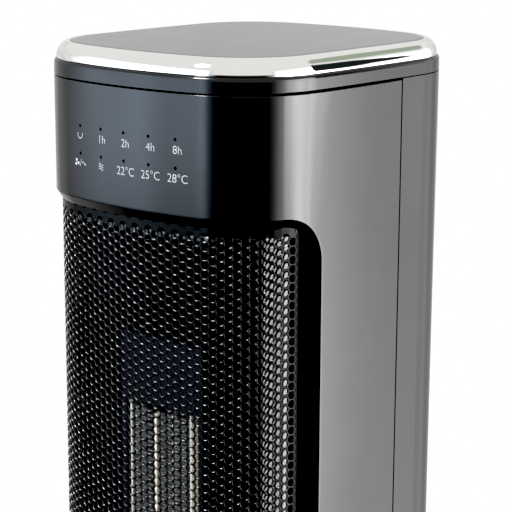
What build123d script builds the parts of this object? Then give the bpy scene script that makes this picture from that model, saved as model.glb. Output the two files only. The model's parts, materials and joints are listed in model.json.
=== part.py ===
"""A ceramic tower heater on a swivelling base, in millimetres.

+Z is up and the front faces -Y.  The origin is the middle of the base, on the surface it stands on.
The tower's plan is a rounded square made of eight tangent arcs.  Almost every casing piece is that
plan moved inwards by some inset, so one function draws it for all of them.
"""

from build123d import *
from math import atan2, cos, degrees, pi, radians, sin, sqrt, tan
import os

os.makedirs("parts", exist_ok=True)

# ---------------------------------------------------------------- driving dimensions
HALF_WIDTH = 90.0  # tower, from the axis to the middle of a side
HALF_DEPTH = 102.0  # tower, from the axis to the middle of the front
FRONT_RADIUS = 260.0  # the front and the back bulge with this radius
SIDE_RADIUS = 1500.0  # the sides are nearly flat
CORNER_RADIUS = 53.0
HEIGHT = 580.0
WALL = 2.5
GAP = 0.3  # assembly clearance between neighbouring pieces

TOWER_FOOT = 31.0  # underside of the turning tower
LID_SEAM = 561.0  # top of the front shell
LID_GAP = 1.2
REAR_LID_GAP = 0.5
CHROME_FOOT = HEIGHT - 9.6
CHROME_INSET = 1.3  # the chrome stands this far inside the lid's side
PANEL_INSET = 9.0  # from the tower's outline to the top panel's edge
SHELL_SEAM_Y = 27.0  # where the front shell meets the rear shell
SEAM_GAP = 0.8

OPENING_EDGE_Y = -42.0  # the front opening wraps back to here on both sides
OPENING_FOOT, OPENING_TOP = 84.0, HEIGHT - 84.0
OPENING_CORNER = 26.0
BEVEL_DROP, BEVEL_DEPTH = 7.5, 5.0  # the opening's top and bottom bevels
SIDE_BEVEL = 10.5  # the opening's side bevels, at 45 degrees

GRILLE_INSET, GRILLE_SHEET = 3.3, 0.8
GRILLE_FOOT, GRILLE_TOP = OPENING_FOOT + 4.0, OPENING_TOP - 4.0
GRILLE_EDGE_Y = OPENING_EDGE_Y - 4.0
LINER_INSET = 7.5
MOUTH_HALF, MOUTH_FOOT, MOUTH_TOP = 71.0, 96.0, HEIGHT - 96.0

BASE_RADIUS, BASE_TOP = 120.0, 25.0
FOOT_HEIGHT = 3.0


# ---------------------------------------------------------------- the tower's plan
def corner_centre():
    """Centre of the front right corner arc, tangent inside the front and the side arcs."""
    fy = FRONT_RADIUS - HALF_DEPTH  # the front arc's centre is (0, fy)
    sx = SIDE_RADIUS - HALF_WIDTH  # the side arc's centre is (-sx, 0)
    to_front, to_side = FRONT_RADIUS - CORNER_RADIUS, SIDE_RADIUS - CORNER_RADIUS
    # subtracting the two circle equations leaves x = p + q * depth
    p = (to_side**2 - to_front**2 - sx**2 + fy**2) / (2 * sx)
    q = fy / sx
    a, b, c = 1 + q * q, 2 * (p * q + fy), p * p + fy * fy - to_front**2
    depth = (-b + sqrt(b * b - 4 * a * c)) / (2 * a)
    return p + q * depth, depth


CORNER_X, CORNER_Y = corner_centre()
FRONT_HALF_ANGLE = degrees(atan2(CORNER_X, CORNER_Y + FRONT_RADIUS - HALF_DEPTH))
SIDE_HALF_ANGLE = degrees(atan2(CORNER_Y, CORNER_X + SIDE_RADIUS - HALF_WIDTH))


def plan(inset=0.0):
    """The plan as a filled sketch of eight tangent arcs, moved in by inset."""
    front_y, side_x = FRONT_RADIUS - HALF_DEPTH, SIDE_RADIUS - HALF_WIDTH
    turn = 90 - FRONT_HALF_ANGLE - SIDE_HALF_ANGLE
    with BuildSketch(Plane.XY, mode=Mode.PRIVATE) as disc:
        with BuildLine():
            for middle, y in ((-90, front_y), (90, -front_y)):
                start = middle - FRONT_HALF_ANGLE
                CenterArc((0, y), FRONT_RADIUS - inset, start, 2 * FRONT_HALF_ANGLE)
            for middle, x in ((0, -side_x), (180, side_x)):
                start = middle - SIDE_HALF_ANGLE
                CenterArc((x, 0), SIDE_RADIUS - inset, start, 2 * SIDE_HALF_ANGLE)
            for x, y, start in (
                (CORNER_X, -CORNER_Y, -90 + FRONT_HALF_ANGLE),
                (CORNER_X, CORNER_Y, SIDE_HALF_ANGLE),
                (-CORNER_X, CORNER_Y, 90 + FRONT_HALF_ANGLE),
                (-CORNER_X, -CORNER_Y, 180 + SIDE_HALF_ANGLE),
            ):
                CenterArc((x, y), CORNER_RADIUS - inset, start, turn)
        make_face()
    return disc.sketch


def plan_ring(outer, inner):
    """The strip of the plan between two insets."""
    return plan(outer) - plan(inner)


def side_window(low, high, back, corner):
    """A window seen from the side, open to the front, with rounded back corners."""
    with BuildSketch(Plane.YZ, mode=Mode.PRIVATE) as window:
        with BuildLine():
            Polyline((back - corner, high), (-200, high), (-200, low), (back - corner, low))
            CenterArc((back - corner, low + corner), corner, -90, 90)
            Line((back, low + corner), (back, high - corner))
            CenterArc((back - corner, high - corner), corner, 0, 90)
        make_face()
    return window.sketch_local


def save(part, name):
    part.label = name
    export_step(part, f"parts/{name}.step")


# ---------------------------------------------------------------- base
FOOT_RING, FOOT_COUNT, FOOT_RADIUS = 98.0, 6, 9.0
POST_RADIUS, POST_BORE, POST_TOP = 14.0, 9.0, 52.0
BASE_SCREW_RING = 88.0
GLAND_Z, GLAND_WIDTH, GLAND_HEIGHT = 10.6, 12.6, 10.2
CORD_RADIUS = 4.1
PLUNGER_X, PLUNGER_Y, PLUNGER_RADIUS = -46.0, 46.0, 4.0

with BuildPart() as base_plate:
    with BuildSketch(Plane.XY.offset(FOOT_HEIGHT)):
        Circle(BASE_RADIUS - WALL - GAP)
        Circle(POST_BORE, mode=Mode.SUBTRACT)
        with Locations((PLUNGER_X, PLUNGER_Y)):
            Circle(PLUNGER_RADIUS + 0.5, mode=Mode.SUBTRACT)
        with PolarLocations(BASE_SCREW_RING, FOOT_COUNT, 0):
            Circle(1.8, mode=Mode.SUBTRACT)
        with PolarLocations(FOOT_RING, FOOT_COUNT, 30):
            Circle(3.0, mode=Mode.SUBTRACT)
    extrude(amount=WALL)
    with BuildSketch(Plane.XY.offset(FOOT_HEIGHT + WALL)):
        with PolarLocations(62, 3, 75):
            Rectangle(40, 2)
    extrude(amount=6)
save(base_plate.part, "base_plate")

with BuildPart() as base_cover:
    with BuildSketch(Plane.XZ):
        with BuildLine():
            Polyline((0, BASE_TOP), (72, BASE_TOP))
            ThreePointArc((72, BASE_TOP), (104, 20.5), (BASE_RADIUS, 10))
            Polyline((BASE_RADIUS, 10), (BASE_RADIUS, FOOT_HEIGHT), (BASE_RADIUS - WALL, FOOT_HEIGHT))
            Polyline((BASE_RADIUS - WALL, FOOT_HEIGHT), (BASE_RADIUS - WALL, 9))
            ThreePointArc((BASE_RADIUS - WALL, 9), (103, 18), (72, BASE_TOP - WALL))
            Polyline((72, BASE_TOP - WALL), (0, BASE_TOP - WALL), (0, BASE_TOP))
        make_face()
    revolve(axis=Axis.Z)
    with BuildSketch(Plane.XY.offset(FOOT_HEIGHT)):
        Circle(POST_RADIUS + GAP)
    extrude(amount=BASE_TOP, mode=Mode.SUBTRACT)
    # the cord leaves the base at the back
    with BuildSketch(Plane.XZ.offset(-BASE_RADIUS - 5)):
        with Locations((0, GLAND_Z)):
            Rectangle(GLAND_WIDTH + 2 * GAP, GLAND_HEIGHT + 2 * GAP)
    extrude(amount=30, mode=Mode.SUBTRACT)
    with BuildSketch(Plane.XY.offset(FOOT_HEIGHT + WALL + GAP)):
        with PolarLocations(BASE_SCREW_RING, FOOT_COUNT, 0):
            Circle(4.0)
    extrude(until=Until.NEXT)
    with BuildSketch(Plane.XY.offset(FOOT_HEIGHT)):
        with PolarLocations(BASE_SCREW_RING, FOOT_COUNT, 0):
            Circle(1.6)
    extrude(amount=13, mode=Mode.SUBTRACT)
save(base_cover.part, "base_cover")

with BuildPart() as rubber_feet:
    with BuildSketch(Plane.XY):
        with PolarLocations(FOOT_RING, FOOT_COUNT, 30):
            Circle(FOOT_RADIUS)
    extrude(amount=FOOT_HEIGHT)
    with BuildSketch(Plane.XY.offset(FOOT_HEIGHT)):
        with PolarLocations(FOOT_RING, FOOT_COUNT, 30):
            Circle(2.9)
    extrude(amount=WALL + 1.0)
    chamfer(rubber_feet.edges().group_by(Axis.Z)[0], 0.8)
save(rubber_feet.part, "rubber_feet")

with BuildPart() as base_screws:
    with BuildSketch(Plane.XY.offset(FOOT_HEIGHT - 1.8)):
        with PolarLocations(BASE_SCREW_RING, FOOT_COUNT, 0):
            Circle(3.2)
    extrude(amount=1.8)
    with BuildSketch(Plane.XY.offset(FOOT_HEIGHT)):
        with PolarLocations(BASE_SCREW_RING, FOOT_COUNT, 0):
            Circle(1.5)
    extrude(amount=11)
    with BuildSketch(Plane.XY.offset(FOOT_HEIGHT - 1.8)):
        with PolarLocations(BASE_SCREW_RING, FOOT_COUNT, 0):
            Rectangle(3.6, 0.8)
            Rectangle(0.8, 3.6)
    extrude(amount=1.0, mode=Mode.SUBTRACT)
save(base_screws.part, "base_screws")

with BuildPart() as swivel_post:
    with BuildSketch(Plane.XY.offset(FOOT_HEIGHT + WALL)):
        Circle(26)
        Circle(POST_BORE, mode=Mode.SUBTRACT)
    extrude(amount=3)
    with BuildSketch(Plane.XY.offset(FOOT_HEIGHT + WALL)):
        Circle(POST_RADIUS)
        Circle(POST_BORE, mode=Mode.SUBTRACT)
    extrude(amount=POST_TOP - FOOT_HEIGHT - WALL)
    # a groove near the top holds the retaining ring
    with BuildSketch(Plane.XY.offset(POST_TOP - 4)):
        Circle(POST_RADIUS)
        Circle(POST_RADIUS - 1.2, mode=Mode.SUBTRACT)
    extrude(amount=1.6, mode=Mode.SUBTRACT)
save(swivel_post.part, "swivel_post")

with BuildPart() as retaining_ring:
    with BuildSketch(Plane.XY.offset(POST_TOP - 3.9)):
        Circle(POST_RADIUS + 2.2)
        Circle(POST_RADIUS - 1.1, mode=Mode.SUBTRACT)
        with Locations((0, -POST_RADIUS)):
            Rectangle(5, 8, mode=Mode.SUBTRACT)
    extrude(amount=1.4)
save(retaining_ring.part, "retaining_ring")

WASHER_TOP = BASE_TOP + 2.0
with BuildPart() as swivel_washer:
    with BuildSketch(Plane.XY.offset(BASE_TOP)):
        Circle(58)
        Circle(44, mode=Mode.SUBTRACT)
    extrude(amount=WASHER_TOP - BASE_TOP)
save(swivel_washer.part, "swivel_washer")

with BuildPart() as cord_gland:
    with BuildSketch(Plane.XZ.offset(-BASE_RADIUS + 9)):
        with Locations((0, GLAND_Z)):
            RectangleRounded(GLAND_WIDTH, GLAND_HEIGHT, 3)
            Circle(CORD_RADIUS, mode=Mode.SUBTRACT)
    extrude(amount=-8.4)
    # a flange keeps it from being pulled out
    with BuildSketch(Plane.XZ.offset(-BASE_RADIUS + 9)):
        with Locations((0, 9.4)):
            Rectangle(20, 7.4)
        with Locations((0, GLAND_Z)):
            Circle(CORD_RADIUS, mode=Mode.SUBTRACT)
    extrude(amount=2.5)
save(cord_gland.part, "cord_gland")

with BuildPart() as tilt_switch_body:
    with BuildSketch(Plane.XY.offset(FOOT_HEIGHT + WALL)):
        with Locations((PLUNGER_X, PLUNGER_Y)):
            Rectangle(20, 13)
            Circle(PLUNGER_RADIUS + 0.5, mode=Mode.SUBTRACT)
    extrude(amount=14)
save(tilt_switch_body.part, "tilt_switch_body")

# the plunger is pressed in while the heater stands, and drops when it is lifted or falls
with BuildPart() as tilt_plunger:
    with BuildSketch(Plane.XY.offset(0.2)):
        with Locations((PLUNGER_X, PLUNGER_Y)):
            Circle(PLUNGER_RADIUS)
    extrude(amount=15)
    fillet(tilt_plunger.edges().group_by(Axis.Z)[0], 1.0)
save(tilt_plunger.part, "tilt_plunger")


# ---------------------------------------------------------------- swivel drive
MODULE = 1.0
GEAR_TEETH, PINION_TEETH = 60, 12
GEAR_Z, GEAR_FACE = 38.0, 6.0
BACKLASH = 0.12  # taken off each flank
PINION_X = MODULE * (GEAR_TEETH + PINION_TEETH) / 2
ADDENDUM, DEDENDUM = 0.85 * MODULE, 1.2 * MODULE


def gear_outline(teeth, phase):
    """Points round a spur gear with straight-sided teeth, phase in tooth pitches."""
    pitch_radius = MODULE * teeth / 2
    pitch_angle = 2 * pi / teeth
    half_tooth = (pi * MODULE / 4 - BACKLASH) / pitch_radius
    flank = tan(radians(20)) / pitch_radius
    points = []
    for tooth in range(teeth):
        middle = (tooth + phase) * pitch_angle
        for radial, side in ((-DEDENDUM, -1), (ADDENDUM, -1), (ADDENDUM, 1), (-DEDENDUM, 1)):
            angle = middle + side * (half_tooth - flank * radial)
            radius = pitch_radius + radial
            points.append((radius * cos(angle), radius * sin(angle)))
    return points


with BuildPart() as swivel_gear:
    with BuildSketch(Plane.XY.offset(GEAR_Z)):
        with BuildLine():
            Polyline(*gear_outline(GEAR_TEETH, 0.0), close=True)
        make_face()
        Circle(POST_RADIUS + 0.02, mode=Mode.SUBTRACT)
    extrude(amount=GEAR_FACE)
save(swivel_gear.part, "swivel_gear")

# at rest a gear tooth points along +X into a pinion gap
with BuildPart() as swivel_pinion:
    with BuildSketch(Plane.XY.offset(GEAR_Z)) as pinion_sketch:
        with BuildLine():
            Polyline(*gear_outline(PINION_TEETH, 0.5), close=True)
        make_face()
    extrude(amount=GEAR_FACE)
    with BuildSketch(Plane.XY.offset(GEAR_Z)):
        Circle(2.5)
    extrude(amount=GEAR_FACE + 4)
save(swivel_pinion.part.moved(Location((PINION_X, 0, 0))), "swivel_pinion")

MOTOR_Z = GEAR_Z + GEAR_FACE + 2.0
with BuildPart() as swivel_motor:
    with BuildSketch(Plane.XY.offset(MOTOR_Z)):
        with Locations((PINION_X + 6, 0)):
            Circle(21)
        with Locations((PINION_X + 6, 0)):
            Rectangle(8, 56)
        with Locations((PINION_X, 0)):
            Circle(2.6, mode=Mode.SUBTRACT)
    extrude(amount=1.2)
    with BuildSketch(Plane.XY.offset(MOTOR_Z + 1.2)):
        with Locations((PINION_X + 6, 0)):
            Circle(21)
        with Locations((PINION_X, 0)):
            Circle(2.6, mode=Mode.SUBTRACT)
    extrude(amount=16)
    with BuildSketch(Plane.XY.offset(MOTOR_Z)):
        with Locations((PINION_X + 6, 24.5), (PINION_X + 6, -24.5)):
            Circle(1.7)
    extrude(amount=1.2, mode=Mode.SUBTRACT)
save(swivel_motor.part, "swivel_motor")


# ---------------------------------------------------------------- tower chassis and shells
BOSS_X, BOSS_RADIUS, BOSS_BORE = 81.3, 6.0, 1.3
BOSS_LEVELS = (68.0, 300.0, 538.0)
BOSS_FRONT_Y = 6.0
BOSS_LENGTH = SHELL_SEAM_Y - SEAM_GAP / 2 - BOSS_FRONT_Y
LIP_MARGIN, LIP_INSET = 6.0, 7.2  # the thick lip round the opening
INNER_CORNER = 18.5
SLOT_CLEARANCE = 0.25
CHASSIS_TOP = TOWER_FOOT + 4.0
MOTOR_SCREWS = ((PINION_X + 6, 24.5), (PINION_X + 6, -24.5))
BOARD_Z = 84.0
BOARD_POSTS = ((52, 46), (52, -46), (-52, 46), (-52, -46))

with BuildPart() as chassis:
    with BuildSketch(Plane.XY.offset(TOWER_FOOT + 0.5)):
        add(plan(WALL + GAP))
        Circle(POST_RADIUS + 0.05, mode=Mode.SUBTRACT)
    extrude(amount=CHASSIS_TOP - TOWER_FOOT - 0.5)
    # a collar underneath runs on the washer
    with BuildSketch(Plane.XY.offset(WASHER_TOP + 0.05)):
        Circle(56)
        Circle(46, mode=Mode.SUBTRACT)
    extrude(amount=TOWER_FOOT + 0.5 - WASHER_TOP)
    with BuildSketch(Plane.XY.offset(CHASSIS_TOP)):
        with Locations(*MOTOR_SCREWS):
            Circle(4.5)
            Circle(1.3, mode=Mode.SUBTRACT)
    extrude(amount=MOTOR_Z - CHASSIS_TOP)
    with BuildSketch(Plane.XY.offset(CHASSIS_TOP)):
        with Locations(*BOARD_POSTS):
            Circle(4.5)
            Circle(1.3, mode=Mode.SUBTRACT)
    extrude(amount=BOARD_Z - CHASSIS_TOP)
save(chassis.part, "chassis")

with BuildPart() as swivel_motor_screws:
    with BuildSketch(Plane.XY.offset(MOTOR_Z + 1.2)):
        with Locations(*MOTOR_SCREWS):
            Circle(2.8)
    extrude(amount=1.8)
    with BuildSketch(Plane.XY.offset(MOTOR_Z - 8)):
        with Locations(*MOTOR_SCREWS):
            Circle(1.25)
    extrude(amount=9.2)
save(swivel_motor_screws.part, "swivel_motor_screws")

LED_COLUMNS, LED_STEP = 5, 18.0
LED_ROWS_Z = (HEIGHT - 43.3, HEIGHT - 58.6)
LED_GRID_Z, LED_ROW_STEP = sum(LED_ROWS_Z) / 2, LED_ROWS_Z[0] - LED_ROWS_Z[1]
LENS_RADIUS = 0.9

with BuildPart() as front_shell:
    with BuildSketch(Plane.XY.offset(TOWER_FOOT)):
        add(plan_ring(0, WALL))
    extrude(amount=LID_SEAM - TOWER_FOOT)
    # the lip that backs the opening's edge
    with BuildSketch(Plane.XY.offset(OPENING_FOOT - LIP_MARGIN)):
        add(plan_ring(WALL - 0.1, LIP_INSET))
        with Locations((0, OPENING_EDGE_Y + LIP_MARGIN + 200)):
            Rectangle(400, 400, mode=Mode.SUBTRACT)
    extrude(amount=OPENING_TOP - OPENING_FOOT + 2 * LIP_MARGIN)
    with BuildSketch(Plane.YZ):
        add(side_window(OPENING_FOOT + BEVEL_DROP, OPENING_TOP - BEVEL_DROP,
                        OPENING_EDGE_Y - BEVEL_DROP, INNER_CORNER))
    extrude(amount=HALF_WIDTH + 5, both=True, mode=Mode.SUBTRACT)
    # one front edge is enough, the bevel follows the tangent chain round the opening
    outer_face = front_shell.faces().sort_by(Axis.Y)[0]
    bevel_edge = outer_face.edges().filter_by(
        lambda e: abs(e.center().Z - (OPENING_FOOT + BEVEL_DROP)) < 1e-3
    )
    chamfer(bevel_edge, BEVEL_DROP - 0.1, BEVEL_DEPTH, reference=outer_face)
    # a slot in the lip takes the grille's edges
    with BuildSketch(Plane.XY.offset(GRILLE_FOOT - SLOT_CLEARANCE)):
        add(plan_ring(GRILLE_INSET - SLOT_CLEARANCE, GRILLE_INSET + GRILLE_SHEET + SLOT_CLEARANCE))
        with Locations((0, GRILLE_EDGE_Y + SLOT_CLEARANCE + 200)):
            Rectangle(400, 400, mode=Mode.SUBTRACT)
    extrude(amount=GRILLE_TOP - GRILLE_FOOT + 2 * SLOT_CLEARANCE, mode=Mode.SUBTRACT)
    split(bisect_by=Plane.XZ.offset(-SHELL_SEAM_Y + SEAM_GAP / 2), keep=Keep.TOP)
    with BuildSketch(Plane.XZ.offset(-BOSS_FRONT_Y)):
        with Locations(*[(side * BOSS_X, z) for z in BOSS_LEVELS for side in (-1, 1)]):
            Circle(BOSS_RADIUS)
            Circle(BOSS_BORE, mode=Mode.SUBTRACT)
    extrude(amount=-BOSS_LENGTH)
    with BuildSketch(Plane.XZ.offset(HALF_DEPTH - 10)):
        with Locations((0, LED_GRID_Z)):
            with GridLocations(LED_STEP, LED_ROW_STEP, LED_COLUMNS, 2):
                Circle(LENS_RADIUS + 0.05)
    extrude(amount=15, mode=Mode.SUBTRACT)
save(front_shell.part, "front_shell")

with BuildPart() as front_grille:
    with BuildSketch(Plane.XY.offset(GRILLE_FOOT)):
        add(plan_ring(GRILLE_INSET, GRILLE_INSET + GRILLE_SHEET))
        with Locations((0, GRILLE_EDGE_Y + 200)):
            Rectangle(400, 400, mode=Mode.SUBTRACT)
    extrude(amount=GRILLE_TOP - GRILLE_FOOT)
save(front_grille.part, "front_grille")

LINER_SHEET = 1.6
with BuildPart() as grille_liner:
    with BuildSketch(Plane.XY.offset(OPENING_FOOT - LIP_MARGIN)):
        add(plan_ring(LINER_INSET, LINER_INSET + LINER_SHEET))
        with Locations((0, OPENING_EDGE_Y + LIP_MARGIN + 200)):
            Rectangle(400, 400, mode=Mode.SUBTRACT)
    extrude(amount=OPENING_TOP - OPENING_FOOT + 2 * LIP_MARGIN)
    with BuildSketch(Plane.XZ):
        with Locations((0, (MOUTH_FOOT + MOUTH_TOP) / 2)):
            RectangleRounded(2 * MOUTH_HALF, MOUTH_TOP - MOUTH_FOOT, 6)
    extrude(amount=HALF_DEPTH, mode=Mode.SUBTRACT)
save(grille_liner.part, "grille_liner")

# ---------------------------------------------------------------- rear shell, filter and switch
WINDOW_HALF, WINDOW_FOOT, WINDOW_TOP = 62.0, 150.0, 470.0
GRIP_HALF, GRIP_FOOT, GRIP_TOP, GRIP_DEPTH = 46.0, 500.0, 532.0, 30.0
SWITCH_X, SWITCH_Z, SWITCH_WIDTH, SWITCH_HEIGHT = -42.0, 112.0, 21.0, 15.0
REAR_FLAT_Y = 95.0  # the switch sits in a flat pad this far back
REAR_TOP = LID_SEAM + LID_GAP - REAR_LID_GAP

with BuildPart() as rear_shell:
    with BuildSketch(Plane.XY.offset(TOWER_FOOT)):
        add(plan_ring(0, WALL))
    extrude(amount=REAR_TOP - TOWER_FOOT)
    split(bisect_by=Plane.XZ.offset(-SHELL_SEAM_Y - SEAM_GAP / 2), keep=Keep.BOTTOM)
    # the recessed grip is a cup let in from behind
    with BuildSketch(Plane.XZ.offset(-HALF_DEPTH + GRIP_DEPTH + 2)):
        with Locations((0, (GRIP_FOOT + GRIP_TOP) / 2)):
            Rectangle(2 * GRIP_HALF + 4, GRIP_TOP - GRIP_FOOT + 4)
    extrude(amount=-GRIP_DEPTH + 4)
    with BuildSketch(Plane.XZ.offset(-HALF_DEPTH + GRIP_DEPTH)):
        with Locations((0, (GRIP_FOOT + GRIP_TOP) / 2)):
            RectangleRounded(2 * GRIP_HALF, GRIP_TOP - GRIP_FOOT, 5)
    extrude(amount=-GRIP_DEPTH - 5, mode=Mode.SUBTRACT)
    with BuildSketch(Plane.XZ.offset(-HALF_DEPTH / 2)):
        with Locations((0, (WINDOW_FOOT + WINDOW_TOP) / 2)):
            RectangleRounded(2 * WINDOW_HALF, WINDOW_TOP - WINDOW_FOOT, 8)
    extrude(amount=-HALF_DEPTH, mode=Mode.SUBTRACT)
    with BuildSketch(Plane.XZ.offset(-REAR_FLAT_Y)):
        with Locations((SWITCH_X, SWITCH_Z)):
            RectangleRounded(SWITCH_WIDTH + 8, SWITCH_HEIGHT + 8, 2)
    extrude(amount=4)
    with BuildSketch(Plane.XZ.offset(-REAR_FLAT_Y)):
        with Locations((SWITCH_X, SWITCH_Z)):
            RectangleRounded(SWITCH_WIDTH + 8, SWITCH_HEIGHT + 8, 2)
    extrude(amount=-12, mode=Mode.SUBTRACT)
    with BuildSketch(Plane.XZ.offset(-REAR_FLAT_Y + 6)):
        with Locations((SWITCH_X, SWITCH_Z)):
            Rectangle(SWITCH_WIDTH - 1.6, SWITCH_HEIGHT - 1.6)
    extrude(amount=-12, mode=Mode.SUBTRACT)
    # ears that the shell screws pass through
    with BuildSketch(Plane.XZ.offset(-SHELL_SEAM_Y - SEAM_GAP / 2)):
        with Locations(*[(side * BOSS_X, z) for z in BOSS_LEVELS for side in (-1, 1)]):
            Circle(BOSS_RADIUS)
    extrude(amount=-4)
    with BuildSketch(Plane.XZ.offset(-SHELL_SEAM_Y)):
        with Locations(*[(side * BOSS_X, z) for z in BOSS_LEVELS for side in (-1, 1)]):
            Circle(BOSS_BORE + 0.4)
    extrude(amount=-6, mode=Mode.SUBTRACT)
save(rear_shell.part, "rear_shell")

with BuildPart() as shell_screws:
    with BuildSketch(Plane.XZ.offset(-SHELL_SEAM_Y - SEAM_GAP / 2 - 4)):
        with Locations(*[(side * BOSS_X, z) for z in BOSS_LEVELS for side in (-1, 1)]):
            Circle(2.8)
    extrude(amount=-1.8)
    with BuildSketch(Plane.XZ.offset(-SHELL_SEAM_Y - SEAM_GAP / 2 - 4)):
        with Locations(*[(side * BOSS_X, z) for z in BOSS_LEVELS for side in (-1, 1)]):
            Circle(BOSS_BORE - 0.05)
    extrude(amount=14)
save(shell_screws.part, "shell_screws")

FILTER_CLEARANCE = 0.4
BAR_STEP, BAR_WIDTH = 6.0, 2.4
FRAME_BAND = 7.0
with BuildPart() as filter_frame:
    with BuildSketch(Plane.XZ.offset(-HALF_DEPTH / 2)):
        with Locations((0, (WINDOW_FOOT + WINDOW_TOP) / 2)):
            RectangleRounded(2 * (WINDOW_HALF - FILTER_CLEARANCE),
                             WINDOW_TOP - WINDOW_FOOT - 2 * FILTER_CLEARANCE, 7.6)
    extrude(amount=-HALF_DEPTH)
    with BuildSketch(Plane.XY.offset(WINDOW_FOOT)):
        add(plan_ring(0, WALL))
    extrude(amount=WINDOW_TOP - WINDOW_FOOT, mode=Mode.INTERSECT)
    bar_count = int((WINDOW_TOP - WINDOW_FOOT - 2 * FRAME_BAND) / BAR_STEP)
    with BuildSketch(Plane.XZ.offset(-HALF_DEPTH / 2)):
        with Locations((0, (WINDOW_FOOT + WINDOW_TOP) / 2)):
            for side in (-1, 1):
                with Locations((side * (WINDOW_HALF - FRAME_BAND) / 2, 0)):
                    with GridLocations(0, BAR_STEP, 1, bar_count):
                        Rectangle(WINDOW_HALF - FRAME_BAND - 4, BAR_STEP - BAR_WIDTH)
    extrude(amount=-HALF_DEPTH, mode=Mode.SUBTRACT)
save(filter_frame.part, "filter_frame")

with BuildPart() as filter_mesh:
    with BuildSketch(Plane.XY.offset(WINDOW_FOOT + FRAME_BAND - 3)):
        add(plan_ring(WALL, WALL + 0.8))
        with Locations((0, -100)):
            Rectangle(400, 300, mode=Mode.SUBTRACT)
        edge = WINDOW_HALF - FRAME_BAND + 3
        with Locations((edge + 60, 0), (-edge - 60, 0)):
            Rectangle(120, 400, mode=Mode.SUBTRACT)
    extrude(amount=WINDOW_TOP - WINDOW_FOOT - 2 * FRAME_BAND + 6)
save(filter_mesh.part, "filter_mesh")

with BuildPart() as switch_housing:
    with BuildSketch(Plane.XZ.offset(-REAR_FLAT_Y - 0.05)):
        with Locations((SWITCH_X, SWITCH_Z)):
            RectangleRounded(SWITCH_WIDTH + 3, SWITCH_HEIGHT + 3, 1.5)
            Rectangle(SWITCH_WIDTH - 4.4, SWITCH_HEIGHT - 4.4, mode=Mode.SUBTRACT)
    extrude(amount=-2)
    with BuildSketch(Plane.XZ.offset(-REAR_FLAT_Y - 0.05)):
        with Locations((SWITCH_X, SWITCH_Z)):
            Rectangle(SWITCH_WIDTH - 2, SWITCH_HEIGHT - 2)
            Rectangle(SWITCH_WIDTH - 4.4, SWITCH_HEIGHT - 4.4, mode=Mode.SUBTRACT)
    extrude(amount=16)
    with BuildSketch(Plane.XZ.offset(-REAR_FLAT_Y + 14)):
        with Locations((SWITCH_X, SWITCH_Z)):
            Rectangle(SWITCH_WIDTH - 2, SWITCH_HEIGHT - 2)
    extrude(amount=2)
    with BuildSketch(Plane.XZ.offset(-REAR_FLAT_Y + 16)):
        with Locations((SWITCH_X, SWITCH_Z)):
            with GridLocations(7, 0, 2, 1):
                Rectangle(0.8, 6.3)
    extrude(amount=7)
save(switch_housing.part, "switch_housing")

ROCKER_Y, ROCKER_RADIUS, ROCKER_LEAN = REAR_FLAT_Y - 6.0, 9.6, 8.0
with BuildPart() as power_rocker:
    with BuildSketch(Plane.YZ.offset(SWITCH_X)):
        with Locations((ROCKER_Y, SWITCH_Z)):
            Circle(4.6)
            Polygon((0, 4.0), (0, -4.0), (ROCKER_RADIUS - 1.2, -3.8), (ROCKER_RADIUS - 1.8, 0),
                    (ROCKER_RADIUS - 1.2, 3.8), align=None)
    extrude(amount=(SWITCH_WIDTH - 5.2) / 2, both=True)
rocker_axis = Axis((SWITCH_X, ROCKER_Y, SWITCH_Z), (1, 0, 0))
save(power_rocker.part.rotate(rocker_axis, -ROCKER_LEAN), "power_rocker")

# ---------------------------------------------------------------- lid, chrome ring and touch panel
LID_FOOT = LID_SEAM + LID_GAP
CHROME_ROUND = 7.6
PLATE_FOOT = CHROME_FOOT - 3.0

with BuildPart() as lid:
    with BuildSketch(Plane.XY.offset(LID_FOOT)):
        add(plan(0))
    with BuildSketch(Plane.XY.offset(CHROME_FOOT)):
        add(plan(CHROME_INSET))
    loft()
    with BuildSketch(Plane.XY.offset(LID_FOOT)):
        add(plan(WALL + 1.5))
    extrude(amount=PLATE_FOOT - LID_FOOT, mode=Mode.SUBTRACT)
    # a skirt drops inside the shells
    with BuildSketch(Plane.XY.offset(LID_FOOT - 7)):
        add(plan_ring(WALL + GAP, WALL + GAP + 2))
    extrude(amount=8)
save(lid.part, "lid")

with BuildPart() as chrome_ring:
    with BuildSketch(Plane.XY.offset(CHROME_FOOT)):
        add(plan(CHROME_INSET))
    extrude(amount=HEIGHT - CHROME_FOOT)
    fillet(chrome_ring.edges().group_by(Axis.Z)[-1], CHROME_ROUND)
    with BuildSketch(Plane.XY.offset(CHROME_FOOT)):
        add(plan(PANEL_INSET))
    extrude(amount=HEIGHT - CHROME_FOOT, mode=Mode.SUBTRACT)
save(chrome_ring.part, "chrome_ring")

PANEL_SHEET = 2.4
with BuildPart() as top_panel:
    with BuildSketch(Plane.XY.offset(HEIGHT - PANEL_SHEET - 0.1)):
        add(plan(PANEL_INSET + 0.35))
    extrude(amount=PANEL_SHEET)
    # short posts stand on the lid
    with BuildSketch(Plane.XY.offset(CHROME_FOOT)):
        with GridLocations(110, 130, 2, 2):
            Circle(3)
    extrude(amount=HEIGHT - PANEL_SHEET - CHROME_FOOT)
save(top_panel.part, "top_panel")

with BuildPart() as touch_board:
    with BuildSketch(Plane.XY.offset(HEIGHT - PANEL_SHEET - 1.8)):
        RectangleRounded(96, 60, 3)
    extrude(amount=1.6)
    with BuildSketch(Plane.XY.offset(HEIGHT - PANEL_SHEET - 3.0)):
        with Locations((0, 18)):
            Rectangle(10, 10)
        with Locations((30, -15), (-30, -15)):
            Rectangle(4, 6)
    extrude(amount=1.2)
save(touch_board.part, "touch_board")

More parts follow.
